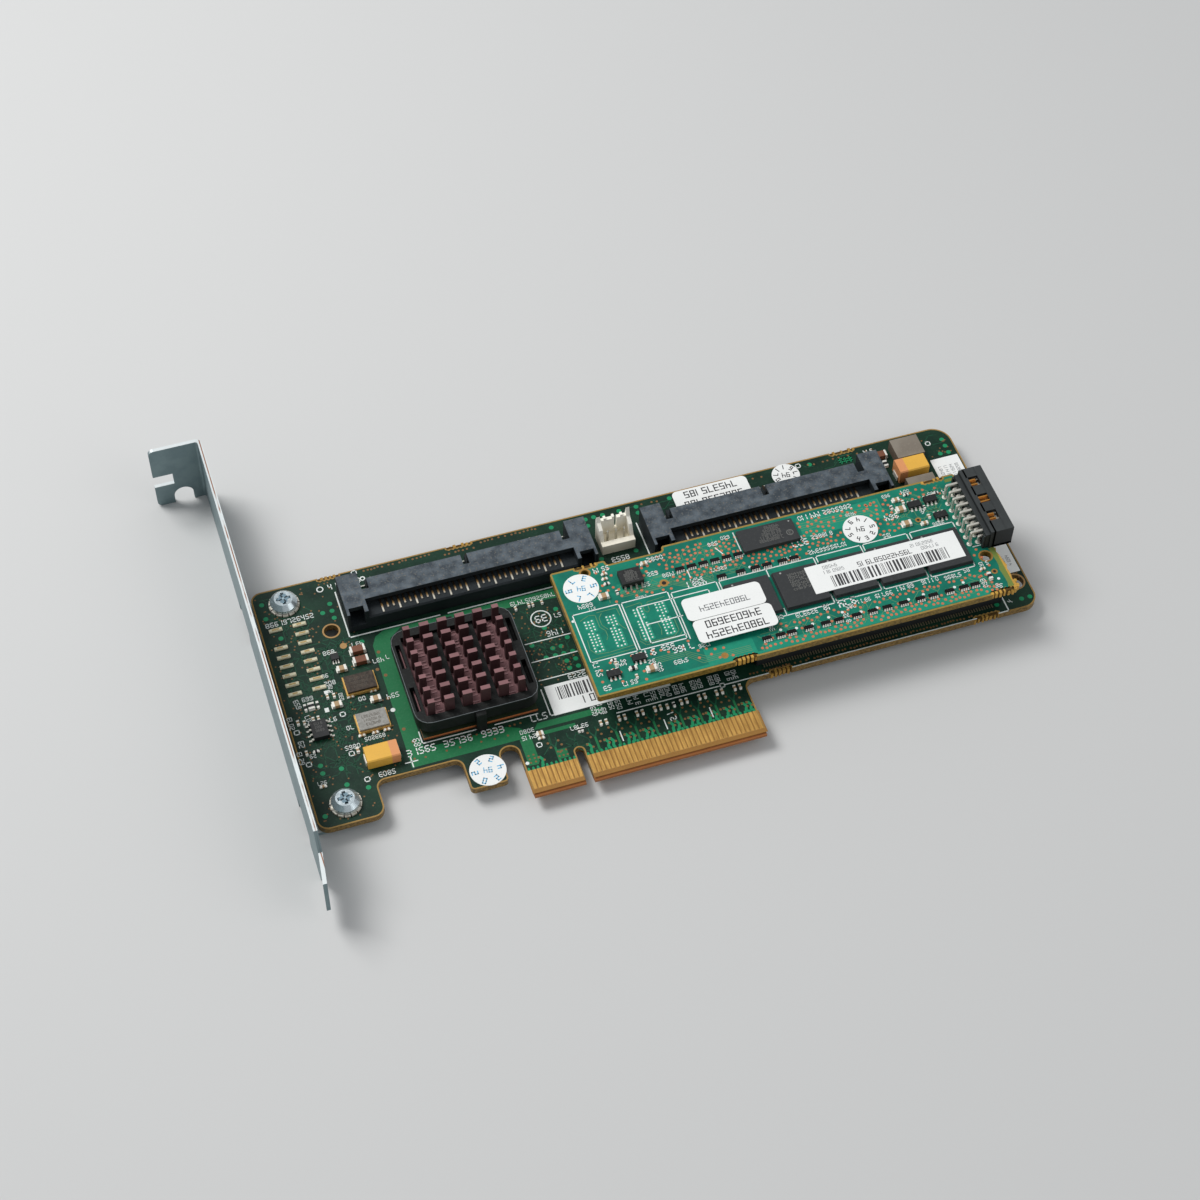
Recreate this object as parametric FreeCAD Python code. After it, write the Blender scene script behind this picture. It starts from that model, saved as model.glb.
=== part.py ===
import FreeCAD, Part
import math
import os

V = FreeCAD.Vector

# A low-profile expansion card for a server: a main board with a gold edge connector, a steel
# bracket, a processor under a clipped pin-fin heatsink, two wide cable receptacles, and a cache
# module that sits over the board on a mezzanine connector.
#
# Frame: X runs along the card from the bracket to the far end, Y from the edge contacts to the
# top edge, Z out of the component side. The origin is the middle of the keying notch, at the
# mating edge, on the component face of the board.

# ---- Main board ----
board_thickness = 1.57
card_height = 68.90
standard_height = 68.90
far_margin = 20.55
bracket_face_x = -59.05
board_to_bracket = 1.44
far_corner_radius = 4.5
heel_corner_radius = 3.5
near_corner_radius = 2.4
shoulder_height = 14.30
shoulder_fillet = 2.3
ear_bottom = 5.0
ear_length = 14.20
relief_top = 13.35
relief_fillet = 1.8
hook_left = -24.30
hook_width = 8.15
hook_bottom = 5.2
hook_corner = 1.0
near_tooling_hole = (-41.90, 54.00)
near_tooling_radius = 1.6
far_tooling_inset = 2.90
far_tooling_height = 21.50
far_tooling_radius = 1.85
nib_radius = 0.50
nib_pitch = 0.95
nib_recess = 0.25
first_top_nibs = 17.75
second_top_nibs = 47.75
far_top_nibs = 25.8
heel_nibs = 12.7
shoulder_nibs = 8.5

# ---- Edge contacts ----
contact_pitch = 1.0
contact_width = 0.70
contact_length = 4.70
contact_thickness = 0.04
contact_start = 1.50
contacts_before_key = 11
contacts_after_key = 38
contact_to_key = 1.50
edge_margin = 0.65
key_width = 1.90
key_depth = 8.70
bevel_length = 1.45
bevel_depth = 0.45

# ---- Bracket ----
bracket_sheet = 0.86
bracket_length = 117.80
bracket_width = 18.42
bracket_top = 104.17
bracket_over_board = 14.45
bend_radius = 0.60
bracket_tab_depth = 12.00
tab_corner_radius = 1.2
screw_notch_width = 4.42
screw_notch_depth = 4.50
screw_notch_to_face = 4.90
end_notch_depth = 4.5
end_notch_height = 3.4
end_notch_drop = 8.6
tongue_width = 10.19
tongue_taper_start = 9.90
tongue_taper_end = 7.30
tongue_lean = 0.90
lug_width = 8.5
lug_end_radius = 1.5
lug_reach = 3.7
lug_relief = 0.6
bracket_screw_to_face = 9.05
upper_screw_inset = 4.90
lower_screw_rise = 4.90

# ---- Bracket screws and washers ----
screw_radius = 1.50
screw_hole_clearance = 0.25
lug_hole_clearance = 0.05
screw_head_radius = 3.00
screw_head_height = 1.85
screw_recess_width = 0.75
screw_recess_length = 3.2
screw_recess_depth = 1.0
screw_end_past_lug = 0.90
washer_radius = 3.25
washer_thickness = 0.55
washer_teeth = 10

# ---- Processor, heatsink and clip ----
processor_x = -17.95
processor_rise = 32.40
package_side = 25.1
package_thickness = 0.80
ball_height = 0.50
ball_pitch = 3.2
ball_rows = 8
ball_width = 0.60
lid_side = 18.0
lid_thickness = 1.20
thermal_pad_side = 16.0
thermal_pad_thickness = 0.15
sink_base_width = 24.0
sink_base_depth = 22.0
sink_base_thickness = 2.0
pin_columns = 6
pin_rows = 7
pin_pitch_x = 3.94
pin_pitch_y = 3.31
pin_width = 2.05
end_pin_width = 1.45
pin_depth = 1.0
pin_height = 5.65
clip_width = 26.7
clip_depth = 25.0
clip_bar_x = 2.20
clip_bar_y = 1.90
clip_corner = 3.2
clip_bar_thickness = 1.50
clip_skirt = 1.95
clip_skirt_wall = 1.20
clip_clearance = 0.05
clip_slot_width = 1.05
clip_slot_length = 6.4
clip_slot_spacing = 11.6
clip_rib_clearance = 0.12
clip_rib_thickness = 0.80
clip_hook_width = 2.2
clip_hook_thickness = 0.8
clip_hook_gap = 0.15
clip_hook_lip = 0.55
clip_hook_chamfer = 0.60

# ---- Cable receptacles ----
receptacle_rise = (52.20, 50.80)
receptacle_to_header = (2.30, 2.70)
receptacle_length = 56.8
receptacle_height = 6.2
receptacle_standoff = 0.20
receptacle_rear = 11.2
receptacle_rear_height = 2.8
tongue_depth = 5.4
tongue_height = 3.9
tongue_chamfer = 0.35
cover_front = 3.4
cover_rear = 8.9
cover_thickness = 1.2
cover_back_wall = 0.8
cover_back_gap = 0.45
slot_start = 6.1
key_slot_width = 1.4
side_slot_width = 1.65
centre_web_width = 1.5
centre_web_depth = 1.3
guide_width = 4.7
guide_front = 1.8
guide_rear = 11.1
guide_floor = 1.9
guide_outer_wall = 0.60
guide_inner_wall = 0.85
guide_pocket_depth = 7.5
receptacle_contacts_per_group = 16
receptacle_pitch = 1.27
receptacle_contact_width = 0.36
receptacle_contact_thickness = 0.20
long_contact_start = 0.45
short_contact_start = 1.45
tail_foot_end = 12.8
long_contact_every = 3

# ---- Small white power header ----
header_x = 24.70
header_rise = 56.20
header_width = 7.7
header_depth = 5.3
header_height = 6.3
header_wall = 0.85
header_floor = 1.5
header_lip_height = 2.8
header_lip_depth = 1.35
header_slope_depth = 2.6
header_slope_height = 5.3
header_horn_heights = (7.6, 8.6)
header_horn_depth = 1.1
header_rib_width = 0.55
header_rib_rise = 0.65
header_slot_width = 0.60
header_pin_count = 3
header_pin_pitch = 1.95
header_pin_side = 0.40
header_pin_top = 4.9
header_pin_setback = 2.4
header_pin_tail = 1.1
pin_hole_clearance = 0.10

# ---- Mezzanine connector ----
stack_height = 7.03
mezzanine_left = 43.0
mezzanine_right = 100.4
mezzanine_rise = 20.20
socket_depth = 6.0
socket_height = 4.4
socket_slot = 3.0
socket_floor = 1.0
plug_flange = 5.0
plug_clearance = 0.10
plug_end_clearance = 0.80
lead_pitch = 3.81
lead_width = 0.60
lead_thickness = 0.20
lead_foot = 0.85

# ---- Cache module ----
module_thickness = 1.57
module_left = 6.00
module_right = 100.95
module_low_edge = 13.80
module_high_edge = 48.20
module_relief_left = 18.6
module_relief_right = 31.5
module_relief_depth = 1.3
module_corner = 0.6
module_hole_inset = (2.45, 10.40)
module_hole_radius = 1.25
module_nibs_in = 33.0
module_nibs_from_right = 2.8
module_top_nibs = 8.0
module_far_top_nibs = 5.3
module_notch_inset = (7.40, 2.10)
module_notch_radius = 0.85

# ---- Memory ----
memory_count = 5
memory_pitch = 11.05
memory_last_x = 89.90
memory_rise = 28.10
memory_width = 10.3
memory_depth = 10.2
memory_thickness = 0.90
memory_standoff = 0.25
memory_edge_step = 0.35

# ---- Battery lead header on the module ----
battery_columns = 8
battery_pitch = 2.0
battery_rise = 35.35
battery_back_x = 100.70
battery_body_depth = 4.6
battery_body_length = 18.7
battery_body_height = 5.4
battery_wall = 0.75
battery_cavity_depth = 3.4
battery_pin_side = 0.50
battery_far_row = 4.3
battery_near_row = 2.3
battery_upper_pin = 3.95
battery_lower_pin = 1.95
battery_tail = 1.0
battery_window_length = 2.6
battery_window_width = 1.5
battery_window_spacing = 5.3
battery_contact_reach = 2.4
battery_foot = 0.06

# ---- Chips, capacitors and other small parts ----
driver_chip = (54.75, 43.35, 13.0, 5.9, 1.0)
regulator_chip = (-50.70, 29.00, 3.4, 4.4, 1.2)
power_switch = (22.30, 41.40, 4.9, 3.9, 1.5)
chip_lead_pitch = 1.27
chip_lead_width = 0.42
chip_lead_thickness = 0.20
chip_lead_reach = 1.05
chip_body_rise = 0.12
oscillator_x = -39.50
oscillator_ys = (38.20, 28.00)
oscillator_size = (7.0, 4.9)
oscillator_base = 0.75
oscillator_lid = 0.55
oscillator_rim = 0.28
tantalum_size = (7.1, 4.2)
tantalum_left = (-39.85, 18.65, 2.8)
tantalum_right = (7.35, 57.60, 3.9)
tantalum_terminal = 0.55
tantalum_terminal_width = 2.4
tantalum_terminal_height = 1.3
inductor_size = (6.6, 5.6, 3.0)
inductor_places = ((8.60, 63.20), (7.85, 51.50))
array_size = (2.0, 1.0, 0.45)
array_rows = (
    (40.80, (33.4, 36.1, 38.8, 41.5, 44.2, 46.9)),
    (36.20, (41.4, 45.8, 49.2, 51.9, 55.5, 58.2)),
    (17.50, (45.0, 48.1, 50.6, 54.5, 58.4, 61.4, 65.5, 69.2, 72.6, 76.4, 80.3, 83.3, 87.1, 90.5, 93.1)),
)
coupling_size = (0.50, 1.05, 0.45)
coupling_y = 13.05
coupling_gap = 1.25
coupling_pairs = (7.0, 11.1, 15.1, 19.1, 25.0, 29.1, 33.0, 37.1)
large_capacitor = (3.2, 1.6, 1.25)
large_capacitor_places = ((-37.85, 46.90), (-37.85, 44.00))
far_capacitor_place = (2.45, 64.30)
medium_capacitor = (2.0, 1.25, 0.85)
medium_capacitor_places = ((-42.30, 43.20), (-37.35, 33.40), (-45.60, 34.40))
module_capacitor_places = ((85.30, 37.60), (85.60, 41.80), (19.00, 17.30), (15.30, 38.60))
small_chip = (2.9, 1.6, 0.95)
board_small_chip = (1.7, 1.6, 0.90)
board_small_chip_places = ((-43.00, 46.60),)
module_small_chips = ((88.95, 42.10), (10.95, 18.40), (92.90, 42.50), (17.30, 20.80), (93.40, 37.60))
pad_size = (2.9, 0.85, 0.12)
pad_pitch = 2.54
pad_inset = 11.20
pad_columns = (-53.40, -48.10)
pad_count = 8
pads_before_gap = 1
under_capacitor_rows = 3
under_capacitor_columns = 4
under_capacitor_pitch = 5.0

# ---- Paper labels ----
label_thickness = 0.10
tail_clearance = 0.05
board_barcode = (-2.30, 17.90, 26.0, 7.80)
end_barcode = (7.30, 24.00, 6.70, 35.80)
small_label = (17.9, 6.1)
small_label_corner = 1.2
rear_label_inset = 9.85
rear_label_gap = 0.10
module_label_corners = ((30.30, 25.90), (30.70, 19.60))
module_barcode = (58.90, 24.70, 35.0, 7.50)
round_label_radius = 3.9
hook_label = (-19.70, 9.00)
rear_round_label = (20.05, 3.25)
module_round_labels = ((11.35, 42.30), (75.10, 39.50))

# ---- Sizes that follow from the ones above ----
def share(y):
    """Where a part stands when it keeps its share of the card's height."""
    return y * card_height / standard_height


board_left = bracket_face_x + bracket_sheet + board_to_bracket
finger_left = -contact_to_key - (contacts_before_key - 1) * contact_pitch - edge_margin
finger_right = contact_to_key + (contacts_after_key - 1) * contact_pitch + edge_margin
receptacle_x = (header_x - header_width / 2 - receptacle_to_header[0] - receptacle_length / 2,
                header_x + header_width / 2 + receptacle_to_header[1] + receptacle_length / 2)
receptacle_front = (share(receptacle_rise[0]), share(receptacle_rise[1]))
receptacle_end = receptacle_x[1] + receptacle_length / 2
card_right = receptacle_end + far_margin
header_front = share(header_rise)
processor_y = share(processor_rise)
mezzanine_y = share(mezzanine_rise)
memory_y = share(memory_rise)
battery_y = share(battery_rise)
module_bottom = share(module_low_edge)
module_top = share(module_high_edge)
module_floor = stack_height
module_face = stack_height + module_thickness
bracket_low = bracket_over_board - bracket_width
bracket_tip = bracket_top - bracket_length
screw_x = bracket_face_x + bracket_screw_to_face
screw_places = ((screw_x, card_height - upper_screw_inset), (screw_x, ear_bottom + lower_screw_rise))
memory_xs = [memory_last_x - memory_pitch * i for i in range(memory_count)]
memory_top = module_face + memory_standoff + memory_thickness


# ---- Plain shape helpers ----
def block(x0, y0, z0, x1, y1, z1):
    """A box between two corners."""
    return Part.makeBox(x1 - x0, y1 - y0, z1 - z0, V(x0, y0, z0))


def slab(x, y, z, width, depth, height):
    """A box centred on x and y that stands on z."""
    return Part.makeBox(width, depth, height, V(x - width / 2, y - depth / 2, z))


def rod(x, y, z, radius, height):
    return Part.makeCylinder(radius, height, V(x, y, z))


def small_hole(x, y, z, radius, height, sides=8):
    """A cutter for a hole under a millimetre wide, drawn with flat sides."""
    reach = radius / math.cos(math.pi / sides)
    points = []
    for i in range(sides):
        angle = math.pi * (2 * i + 1) / sides
        points.append(V(x + reach * math.cos(angle), y + reach * math.sin(angle), z))
    return Part.Face(Part.makePolygon(points + points[:1])).extrude(V(0, 0, height))


def rounded_wire(corners, z):
    """A closed wire through (x, y, radius) corners, with an arc at each corner that has a radius."""
    edges = []
    starts = []
    ends = []
    count = len(corners)
    for i in range(count):
        here = V(corners[i][0], corners[i][1], z)
        before = V(corners[i - 1][0], corners[i - 1][1], z)
        after = V(corners[(i + 1) % count][0], corners[(i + 1) % count][1], z)
        radius = corners[i][2]
        if radius == 0:
            starts.append(here)
            ends.append(here)
            continue
        back = (before - here).normalize()
        ahead = (after - here).normalize()
        half = math.acos(max(-1.0, min(1.0, back.dot(ahead)))) / 2
        reach = radius / math.tan(half)
        first = here + back * reach
        last = here + ahead * reach
        middle = here + (back + ahead).normalize() * (radius / math.sin(half) - radius)
        edges.append(Part.Arc(first, middle, last).toShape())
        starts.append(first)
        ends.append(last)
    for i in range(count):
        start = ends[i]
        end = starts[(i + 1) % count]
        if start.distanceToPoint(end) > 1e-6:
            edges.append(Part.LineSegment(start, end).toShape())
    return Part.Wire(Part.__sortEdges__(edges))


def plate(corners, z, height):
    """A plate with a rounded outline that stands on z."""
    return Part.Face(rounded_wire(corners, z)).extrude(V(0, 0, height))


def rounded_slab(x, y, z, width, depth, height, radius):
    half_w = width / 2
    half_d = depth / 2
    corners = [(x - half_w, y - half_d, radius), (x + half_w, y - half_d, radius),
               (x + half_w, y + half_d, radius), (x - half_w, y + half_d, radius)]
    return plate(corners, z, height)


def bar_along_x(section, x0, x1):
    """A bar whose (y, z) section runs from x0 to x1."""
    points = [V(x0, y, z) for y, z in section]
    return Part.Face(Part.makePolygon(points + points[:1])).extrude(V(x1 - x0, 0, 0))


def bar_along_y(section, y0, y1):
    """A bar whose (x, z) section runs from y0 to y1."""
    points = [V(x, y0, z) for x, z in section]
    return Part.Face(Part.makePolygon(points + points[:1])).extrude(V(0, y1 - y0, 0))


def bent_sheet(corner, first_end, last_end, inner_radius, sheet, sweep):
    """Sheet metal with one square bend.

    corner is where the two outer faces would meet; first_end and last_end are the far ends of
    the outer faces; sweep is the vector along the bend.
    """
    first = (first_end - corner).normalize()
    last = (last_end - corner).normalize()
    outer = inner_radius + sheet
    centre = corner + first * outer + last * outer
    diagonal = (first + last).normalize()
    outer_arc = Part.Arc(centre - last * outer, centre - diagonal * outer, centre - first * outer)
    inner_arc = Part.Arc(centre - first * inner_radius, centre - diagonal * inner_radius,
                         centre - last * inner_radius)
    corners = [first_end, centre - last * outer, centre - first * outer, last_end,
               last_end + first * sheet, centre - first * inner_radius,
               centre - last * inner_radius, first_end + last * sheet]
    arcs = {1: outer_arc, 5: inner_arc}
    edges = []
    for i in range(len(corners)):
        start = corners[i]
        end = corners[(i + 1) % len(corners)]
        if i in arcs:
            edges.append(arcs[i].toShape())
        elif start.distanceToPoint(end) > 1e-6:
            edges.append(Part.LineSegment(start, end).toShape())
    return Part.Face(Part.Wire(edges)).extrude(sweep)


def save(name, solids):
    """Write one node as a STEP file."""
    shape = solids[0] if len(solids) == 1 else Part.makeCompound(solids)
    shape.exportStep(os.path.join("parts", name + ".step"))


# ---- Main board ----
def contact_xs():
    before = [-contact_to_key - contact_pitch * i for i in range(contacts_before_key)]
    after = [contact_to_key + contact_pitch * i for i in range(contacts_after_key)]
    return before[::-1] + after


def breakaway_recess(x_centre, edge_y, inward, count, z, thickness):
    """The shallow ragged recess that is left where a panel tab was snapped along a row of holes."""
    reach = nib_pitch * count / 2
    y0, y1 = sorted((edge_y, edge_y + inward * nib_recess))
    first = x_centre - nib_pitch * (count - 1) / 2
    holes = [small_hole(first + nib_pitch * i, edge_y + inward * nib_recess, z, nib_radius, thickness, 6)
             for i in range(count)]
    return [block(x_centre - reach, y0, z, x_centre + reach, y1, z + thickness)] + holes


def edge_bevels():
    """The two wedges that are milled off the mating edge."""
    upper = [(0, 0), (bevel_length, 0), (0, -bevel_depth)]
    lower = [(0, -board_thickness), (bevel_length, -board_thickness), (0, bevel_depth - board_thickness)]
    return [bar_along_x(section, finger_left, finger_right) for section in (upper, lower)]


def header_pin_xs():
    start = header_x - header_pin_pitch * (header_pin_count - 1) / 2
    return [start + header_pin_pitch * i for i in range(header_pin_count)]


def header_pin_y():
    return header_front + header_pin_setback


def main_board():
    hook_right = hook_left + hook_width
    notch_radius = min(relief_fillet + 0.15, (finger_left - hook_right) / 2 - 0.05)
    outline = [
        (board_left, ear_bottom, near_corner_radius),
        (board_left + ear_length, ear_bottom, near_corner_radius),
        (board_left + ear_length, relief_top, relief_fillet),
        (hook_left, relief_top, relief_fillet),
        (hook_left, hook_bottom, hook_corner),
        (hook_right, hook_bottom, hook_corner),
        (hook_right, relief_top, notch_radius),
        (finger_left, relief_top, notch_radius),
        (finger_left, 0, 0),
        (finger_right, 0, 0),
        (finger_right, shoulder_height, shoulder_fillet),
        (card_right, shoulder_height, heel_corner_radius),
        (card_right, card_height, far_corner_radius),
        (board_left, card_height, near_corner_radius),
    ]
    board = plate(outline, -board_thickness, board_thickness)
    key = block(-key_width / 2, 0, -board_thickness, key_width / 2, key_depth - key_width / 2, 0)
    key_end = rod(0, key_depth - key_width / 2, -board_thickness, key_width / 2, board_thickness)
    far_x = card_right - far_tooling_inset
    cuts = [key, key_end,
            rod(near_tooling_hole[0], share(near_tooling_hole[1]), -board_thickness,
                near_tooling_radius, board_thickness),
            rod(far_x, share(far_tooling_height), -board_thickness, far_tooling_radius, board_thickness)]
    for x, y in screw_places:
        cuts.append(rod(x, y, -board_thickness, screw_radius + screw_hole_clearance, board_thickness))
    hole_radius = header_pin_side * math.sqrt(0.5) + pin_hole_clearance
    for x in header_pin_xs():
        cuts.append(small_hole(x, header_pin_y(), -board_thickness, hole_radius, board_thickness))
    cuts += edge_bevels()
    for x, y, inward, count in ((board_left + first_top_nibs, card_height, -1, 5),
                                (board_left + second_top_nibs, card_height, -1, 6),
                                (card_right - far_top_nibs, card_height, -1, 6),
                                (card_right - heel_nibs, shoulder_height, 1, 6),
                                (finger_right + shoulder_nibs, shoulder_height, 1, 5)):
        cuts += breakaway_recess(x, y, inward, count, -board_thickness, board_thickness)
    return board.cut(cuts)


def edge_contacts(face_z, outward):
    """One face's row of gold contacts, standing a hair proud of the laminate."""
    z0 = face_z if outward > 0 else face_z - contact_thickness
    return [block(x - contact_width / 2, contact_start, z0,
                  x + contact_width / 2, contact_start + contact_length, z0 + contact_thickness)
            for x in contact_xs()]


# ---- Bracket ----
def bracket():
    """A steel strip with the top tab bent out and two lugs bent in under the board."""
    middle = bracket_over_board - bracket_width / 2
    bend_y = bracket_top - bend_radius - bracket_sheet
    neck = bracket_tip + tongue_taper_end
    section = [
        (neck, middle - tongue_width / 2),
        (bracket_tip + tongue_taper_start, bracket_low),
        (bend_y, bracket_low),
        (bend_y, bracket_over_board),
        (bracket_tip + tongue_taper_start, bracket_over_board),
        (neck, middle + tongue_width / 2),
    ]
    strip = bar_along_x(section, bracket_face_x, bracket_face_x + bracket_sheet)
    tab_end = bracket_face_x + bracket_sheet - bracket_tab_depth
    back_face = bracket_face_x + bracket_sheet
    tongue_low = middle - tongue_width / 2
    lean = [V(bracket_face_x, neck, tongue_low), V(back_face, neck, tongue_low),
            V(back_face - tongue_lean, bracket_tip, tongue_low),
            V(bracket_face_x - tongue_lean, bracket_tip, tongue_low)]
    tongue = Part.Face(Part.makePolygon(lean + lean[:1])).extrude(V(0, 0, tongue_width))
    tab = bent_sheet(V(back_face, bracket_top, bracket_low), V(back_face, bend_y, bracket_low),
                     V(tab_end, bracket_top, bracket_low), bend_radius, bracket_sheet,
                     V(0, 0, bracket_width))
    tab_corners = [edge for edge in tab.Edges
                   if abs(edge.BoundBox.XMin - tab_end) < 1e-6
                   and edge.BoundBox.XLength < 1e-6 and edge.BoundBox.ZLength < 1e-6]
    tab = tab.makeFillet(tab_corner_radius, tab_corners)
    lug_low = -board_thickness - bracket_sheet
    lug_bend_top = lug_low + bend_radius + bracket_sheet
    cuts = []
    lugs = []
    for x, y in screw_places:
        y0 = y - lug_width / 2
        cuts.append(block(bracket_face_x, y0 - lug_relief, bracket_low,
                          back_face, y0 + lug_width + lug_relief, lug_bend_top))
        lug = bent_sheet(V(bracket_face_x, y0, lug_low), V(bracket_face_x, y0, lug_bend_top),
                         V(x + lug_reach, y0, lug_low), bend_radius, bracket_sheet,
                         V(0, lug_width, 0))
        corner_edges = [edge for edge in lug.Edges
                        if abs(edge.BoundBox.XMin - (x + lug_reach)) < 1e-6
                        and edge.BoundBox.XLength < 1e-6 and edge.BoundBox.YLength < 1e-6]
        lug = lug.makeFillet(lug_end_radius, corner_edges)
        lugs.append(lug.cut(rod(x, y, lug_low, screw_radius + lug_hole_clearance, bracket_sheet)))
    whole = strip.cut(cuts).fuse([tab, tongue] + lugs)
    return whole.cut(tab_notches(tab_end)).removeSplitter()


def tab_notches(tab_end):
    """The screw notch in the tab's lower edge and the square notch in its outer end."""
    low_y = bracket_top - bracket_sheet
    notch_radius = screw_notch_width / 2
    notch_x = bracket_face_x - screw_notch_to_face
    straight = bracket_low + screw_notch_depth - notch_radius
    slot = block(notch_x - notch_radius, low_y, bracket_low, notch_x + notch_radius, bracket_top, straight)
    end = Part.makeCylinder(notch_radius, bracket_sheet, V(notch_x, low_y, straight), V(0, 1, 0))
    top = bracket_over_board - end_notch_drop
    square = block(tab_end, low_y, top - end_notch_height, tab_end + end_notch_depth, bracket_top, top)
    return [slot, end, square]


def bracket_screw(x, y):
    """A domed pan-head screw with a cross recess."""
    head_z = washer_thickness
    shank_end = -board_thickness - bracket_sheet - screw_end_past_lug
    shank = rod(x, y, shank_end, screw_radius, head_z - shank_end)
    rim = screw_head_height * 0.45
    crown = Part.makeCone(screw_head_radius, screw_head_radius * 0.68, screw_head_height - rim,
                          V(x, y, head_z + rim))
    head = rod(x, y, head_z, screw_head_radius, rim).fuse(crown)
    recess_z = head_z + screw_head_height - screw_recess_depth
    recess = [slab(x, y, recess_z, screw_recess_length, screw_recess_width, screw_recess_depth),
              slab(x, y, recess_z, screw_recess_width, screw_recess_length, screw_recess_depth)]
    return head.fuse(shank).cut(recess)


def toothed_washer(x, y):
    """A spring washer with teeth cut into its rim."""
    points = []
    for i in range(washer_teeth * 4):
        radius = washer_radius if i % 4 < 2 else screw_head_radius
        angle = 2 * math.pi * (i + 0.5) / (washer_teeth * 4)
        points.append(V(x + radius * math.cos(angle), y + radius * math.sin(angle), 0))
    ring = Part.Face(Part.makePolygon(points + points[:1])).extrude(V(0, 0, washer_thickness))
    return ring.cut(rod(x, y, 0, screw_radius + lug_hole_clearance, washer_thickness))


# ---- Processor stack ----
package_top = ball_height + package_thickness
lid_top = package_top + lid_thickness
sink_base_z = lid_top + thermal_pad_thickness
sink_floor = sink_base_z + sink_base_thickness


def solder_balls():
    """The outer ring of the package's solder balls, drawn down to square posts."""
    reach = ball_pitch * (ball_rows - 1) / 2
    steps = [-reach + ball_pitch * i for i in range(ball_rows)]
    places = [(a, b) for a in steps for b in steps if max(abs(a), abs(b)) > reach - 0.01]
    return [slab(processor_x + a, processor_y + b, 0, ball_width, ball_width, ball_height)
            for a, b in places]


def heatsink():
    """A sawn pin-fin heatsink: a base plate and a grid of flat pins."""
    base = slab(processor_x, processor_y, sink_base_z, sink_base_width, sink_base_depth, sink_base_thickness)
    pins = []
    for column in range(pin_columns):
        x = processor_x + pin_pitch_x * (column - (pin_columns - 1) / 2)
        width = end_pin_width if column in (0, pin_columns - 1) else pin_width
        for row in range(pin_rows):
            y = processor_y + pin_pitch_y * (row - (pin_rows - 1) / 2)
            pins.append(slab(x, y, sink_floor, width, pin_depth, pin_height))
    return base.fuse(pins)


def clip_hook(side):
    """One of the two hooks that grip under the package's edge; side is -1 or +1 along Y."""
    edge = processor_y + side * (package_side / 2 + clip_hook_gap)
    outer = edge + side * clip_hook_thickness
    top = sink_floor + clip_clearance + clip_bar_thickness
    lip_top = ball_height - clip_clearance
    lip_low = clip_clearance
    inner = edge - side * clip_hook_lip
    section = [(outer, lip_low), (inner, lip_low), (inner, lip_top), (edge, lip_top),
               (edge, sink_floor), (edge - side * clip_bar_y / 2, sink_floor + clip_clearance),
               (edge - side * clip_bar_y / 2, top), (outer, top - clip_hook_chamfer)]
    return bar_along_x(section, processor_x - clip_hook_width / 2, processor_x + clip_hook_width / 2)


def heatsink_clip():
    """A moulded frame over the heatsink's base: slotted side bars, two inner ribs, two hooks."""
    bar_z = sink_floor + clip_clearance
    frame = rounded_slab(processor_x, processor_y, bar_z - clip_skirt, clip_width, clip_depth,
                         clip_bar_thickness + clip_skirt, clip_corner)
    opening = slab(processor_x, processor_y, bar_z - clip_skirt, clip_width - 2 * clip_bar_x,
                   clip_depth - 2 * clip_bar_y, clip_bar_thickness + clip_skirt)
    seat = slab(processor_x, processor_y, bar_z - clip_skirt, clip_width - 2 * clip_skirt_wall,
                clip_depth - 2 * clip_skirt_wall, clip_skirt)
    cuts = [opening, seat]
    for side_x in (-1, 1):
        for side_y in (-1, 1):
            x = processor_x + side_x * (clip_width - clip_bar_x) / 2
            y = processor_y + side_y * clip_slot_spacing / 2
            cuts.append(slab(x, y, bar_z - clip_skirt, clip_slot_width, clip_slot_length,
                             clip_bar_thickness + clip_skirt))
    rib_width = pin_pitch_x - pin_width - 2 * clip_rib_clearance
    rib_length = clip_depth - 2 * clip_bar_y
    ribs = [slab(processor_x + side * pin_pitch_x, processor_y, bar_z, rib_width, rib_length,
                 clip_rib_thickness)
            for side in (-1, 1)]
    return frame.cut(cuts).fuse(ribs + [clip_hook(-1), clip_hook(1)]).removeSplitter()


# ---- Cable receptacles ----
def receptacle_housing(centre, front):
    """A right-angle receptacle: contact tongue, short cover in two halves, a guide at each end."""
    half = receptacle_length / 2
    inner = half - guide_width
    low = receptacle_standoff
    top = receptacle_height
    base = [(front, low), (front + receptacle_rear, low),
            (front + receptacle_rear, receptacle_rear_height),
            (front + tongue_depth, receptacle_rear_height),
            (front + tongue_depth, tongue_height),
            (front + tongue_chamfer, tongue_height),
            (front, tongue_height - tongue_chamfer)]
    cover_low = top - cover_thickness
    wall_low = receptacle_rear_height + cover_back_gap
    cover = [(front + cover_front, cover_low), (front + cover_rear - cover_back_wall, cover_low),
             (front + cover_rear - cover_back_wall, wall_low), (front + cover_rear, wall_low),
             (front + cover_rear, top), (front + cover_front, top)]
    pieces = [bar_along_x(base, centre - inner, centre + inner),
              bar_along_x(cover, centre - inner, centre + inner)]
    web_half = centre_web_width / 2
    pieces.append(block(centre - web_half, front + slot_start - centre_web_depth, low,
                        centre + web_half, front + slot_start, top))
    for side in (-1, 1):
        pieces.append(guide_block(centre, front, side))
    housing = pieces[0].fuse(pieces[1:])
    slot_back = front + receptacle_rear
    cuts = [block(centre - key_slot_width / 2, front + slot_start, low,
                  centre + key_slot_width / 2, slot_back, top)]
    for side in (-1, 1):
        edges = sorted((centre + side * inner, centre + side * (inner - side_slot_width)))
        cuts.append(block(edges[0], front + slot_start, low, edges[1], slot_back, top))
    return housing.cut(cuts).removeSplitter()


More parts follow.
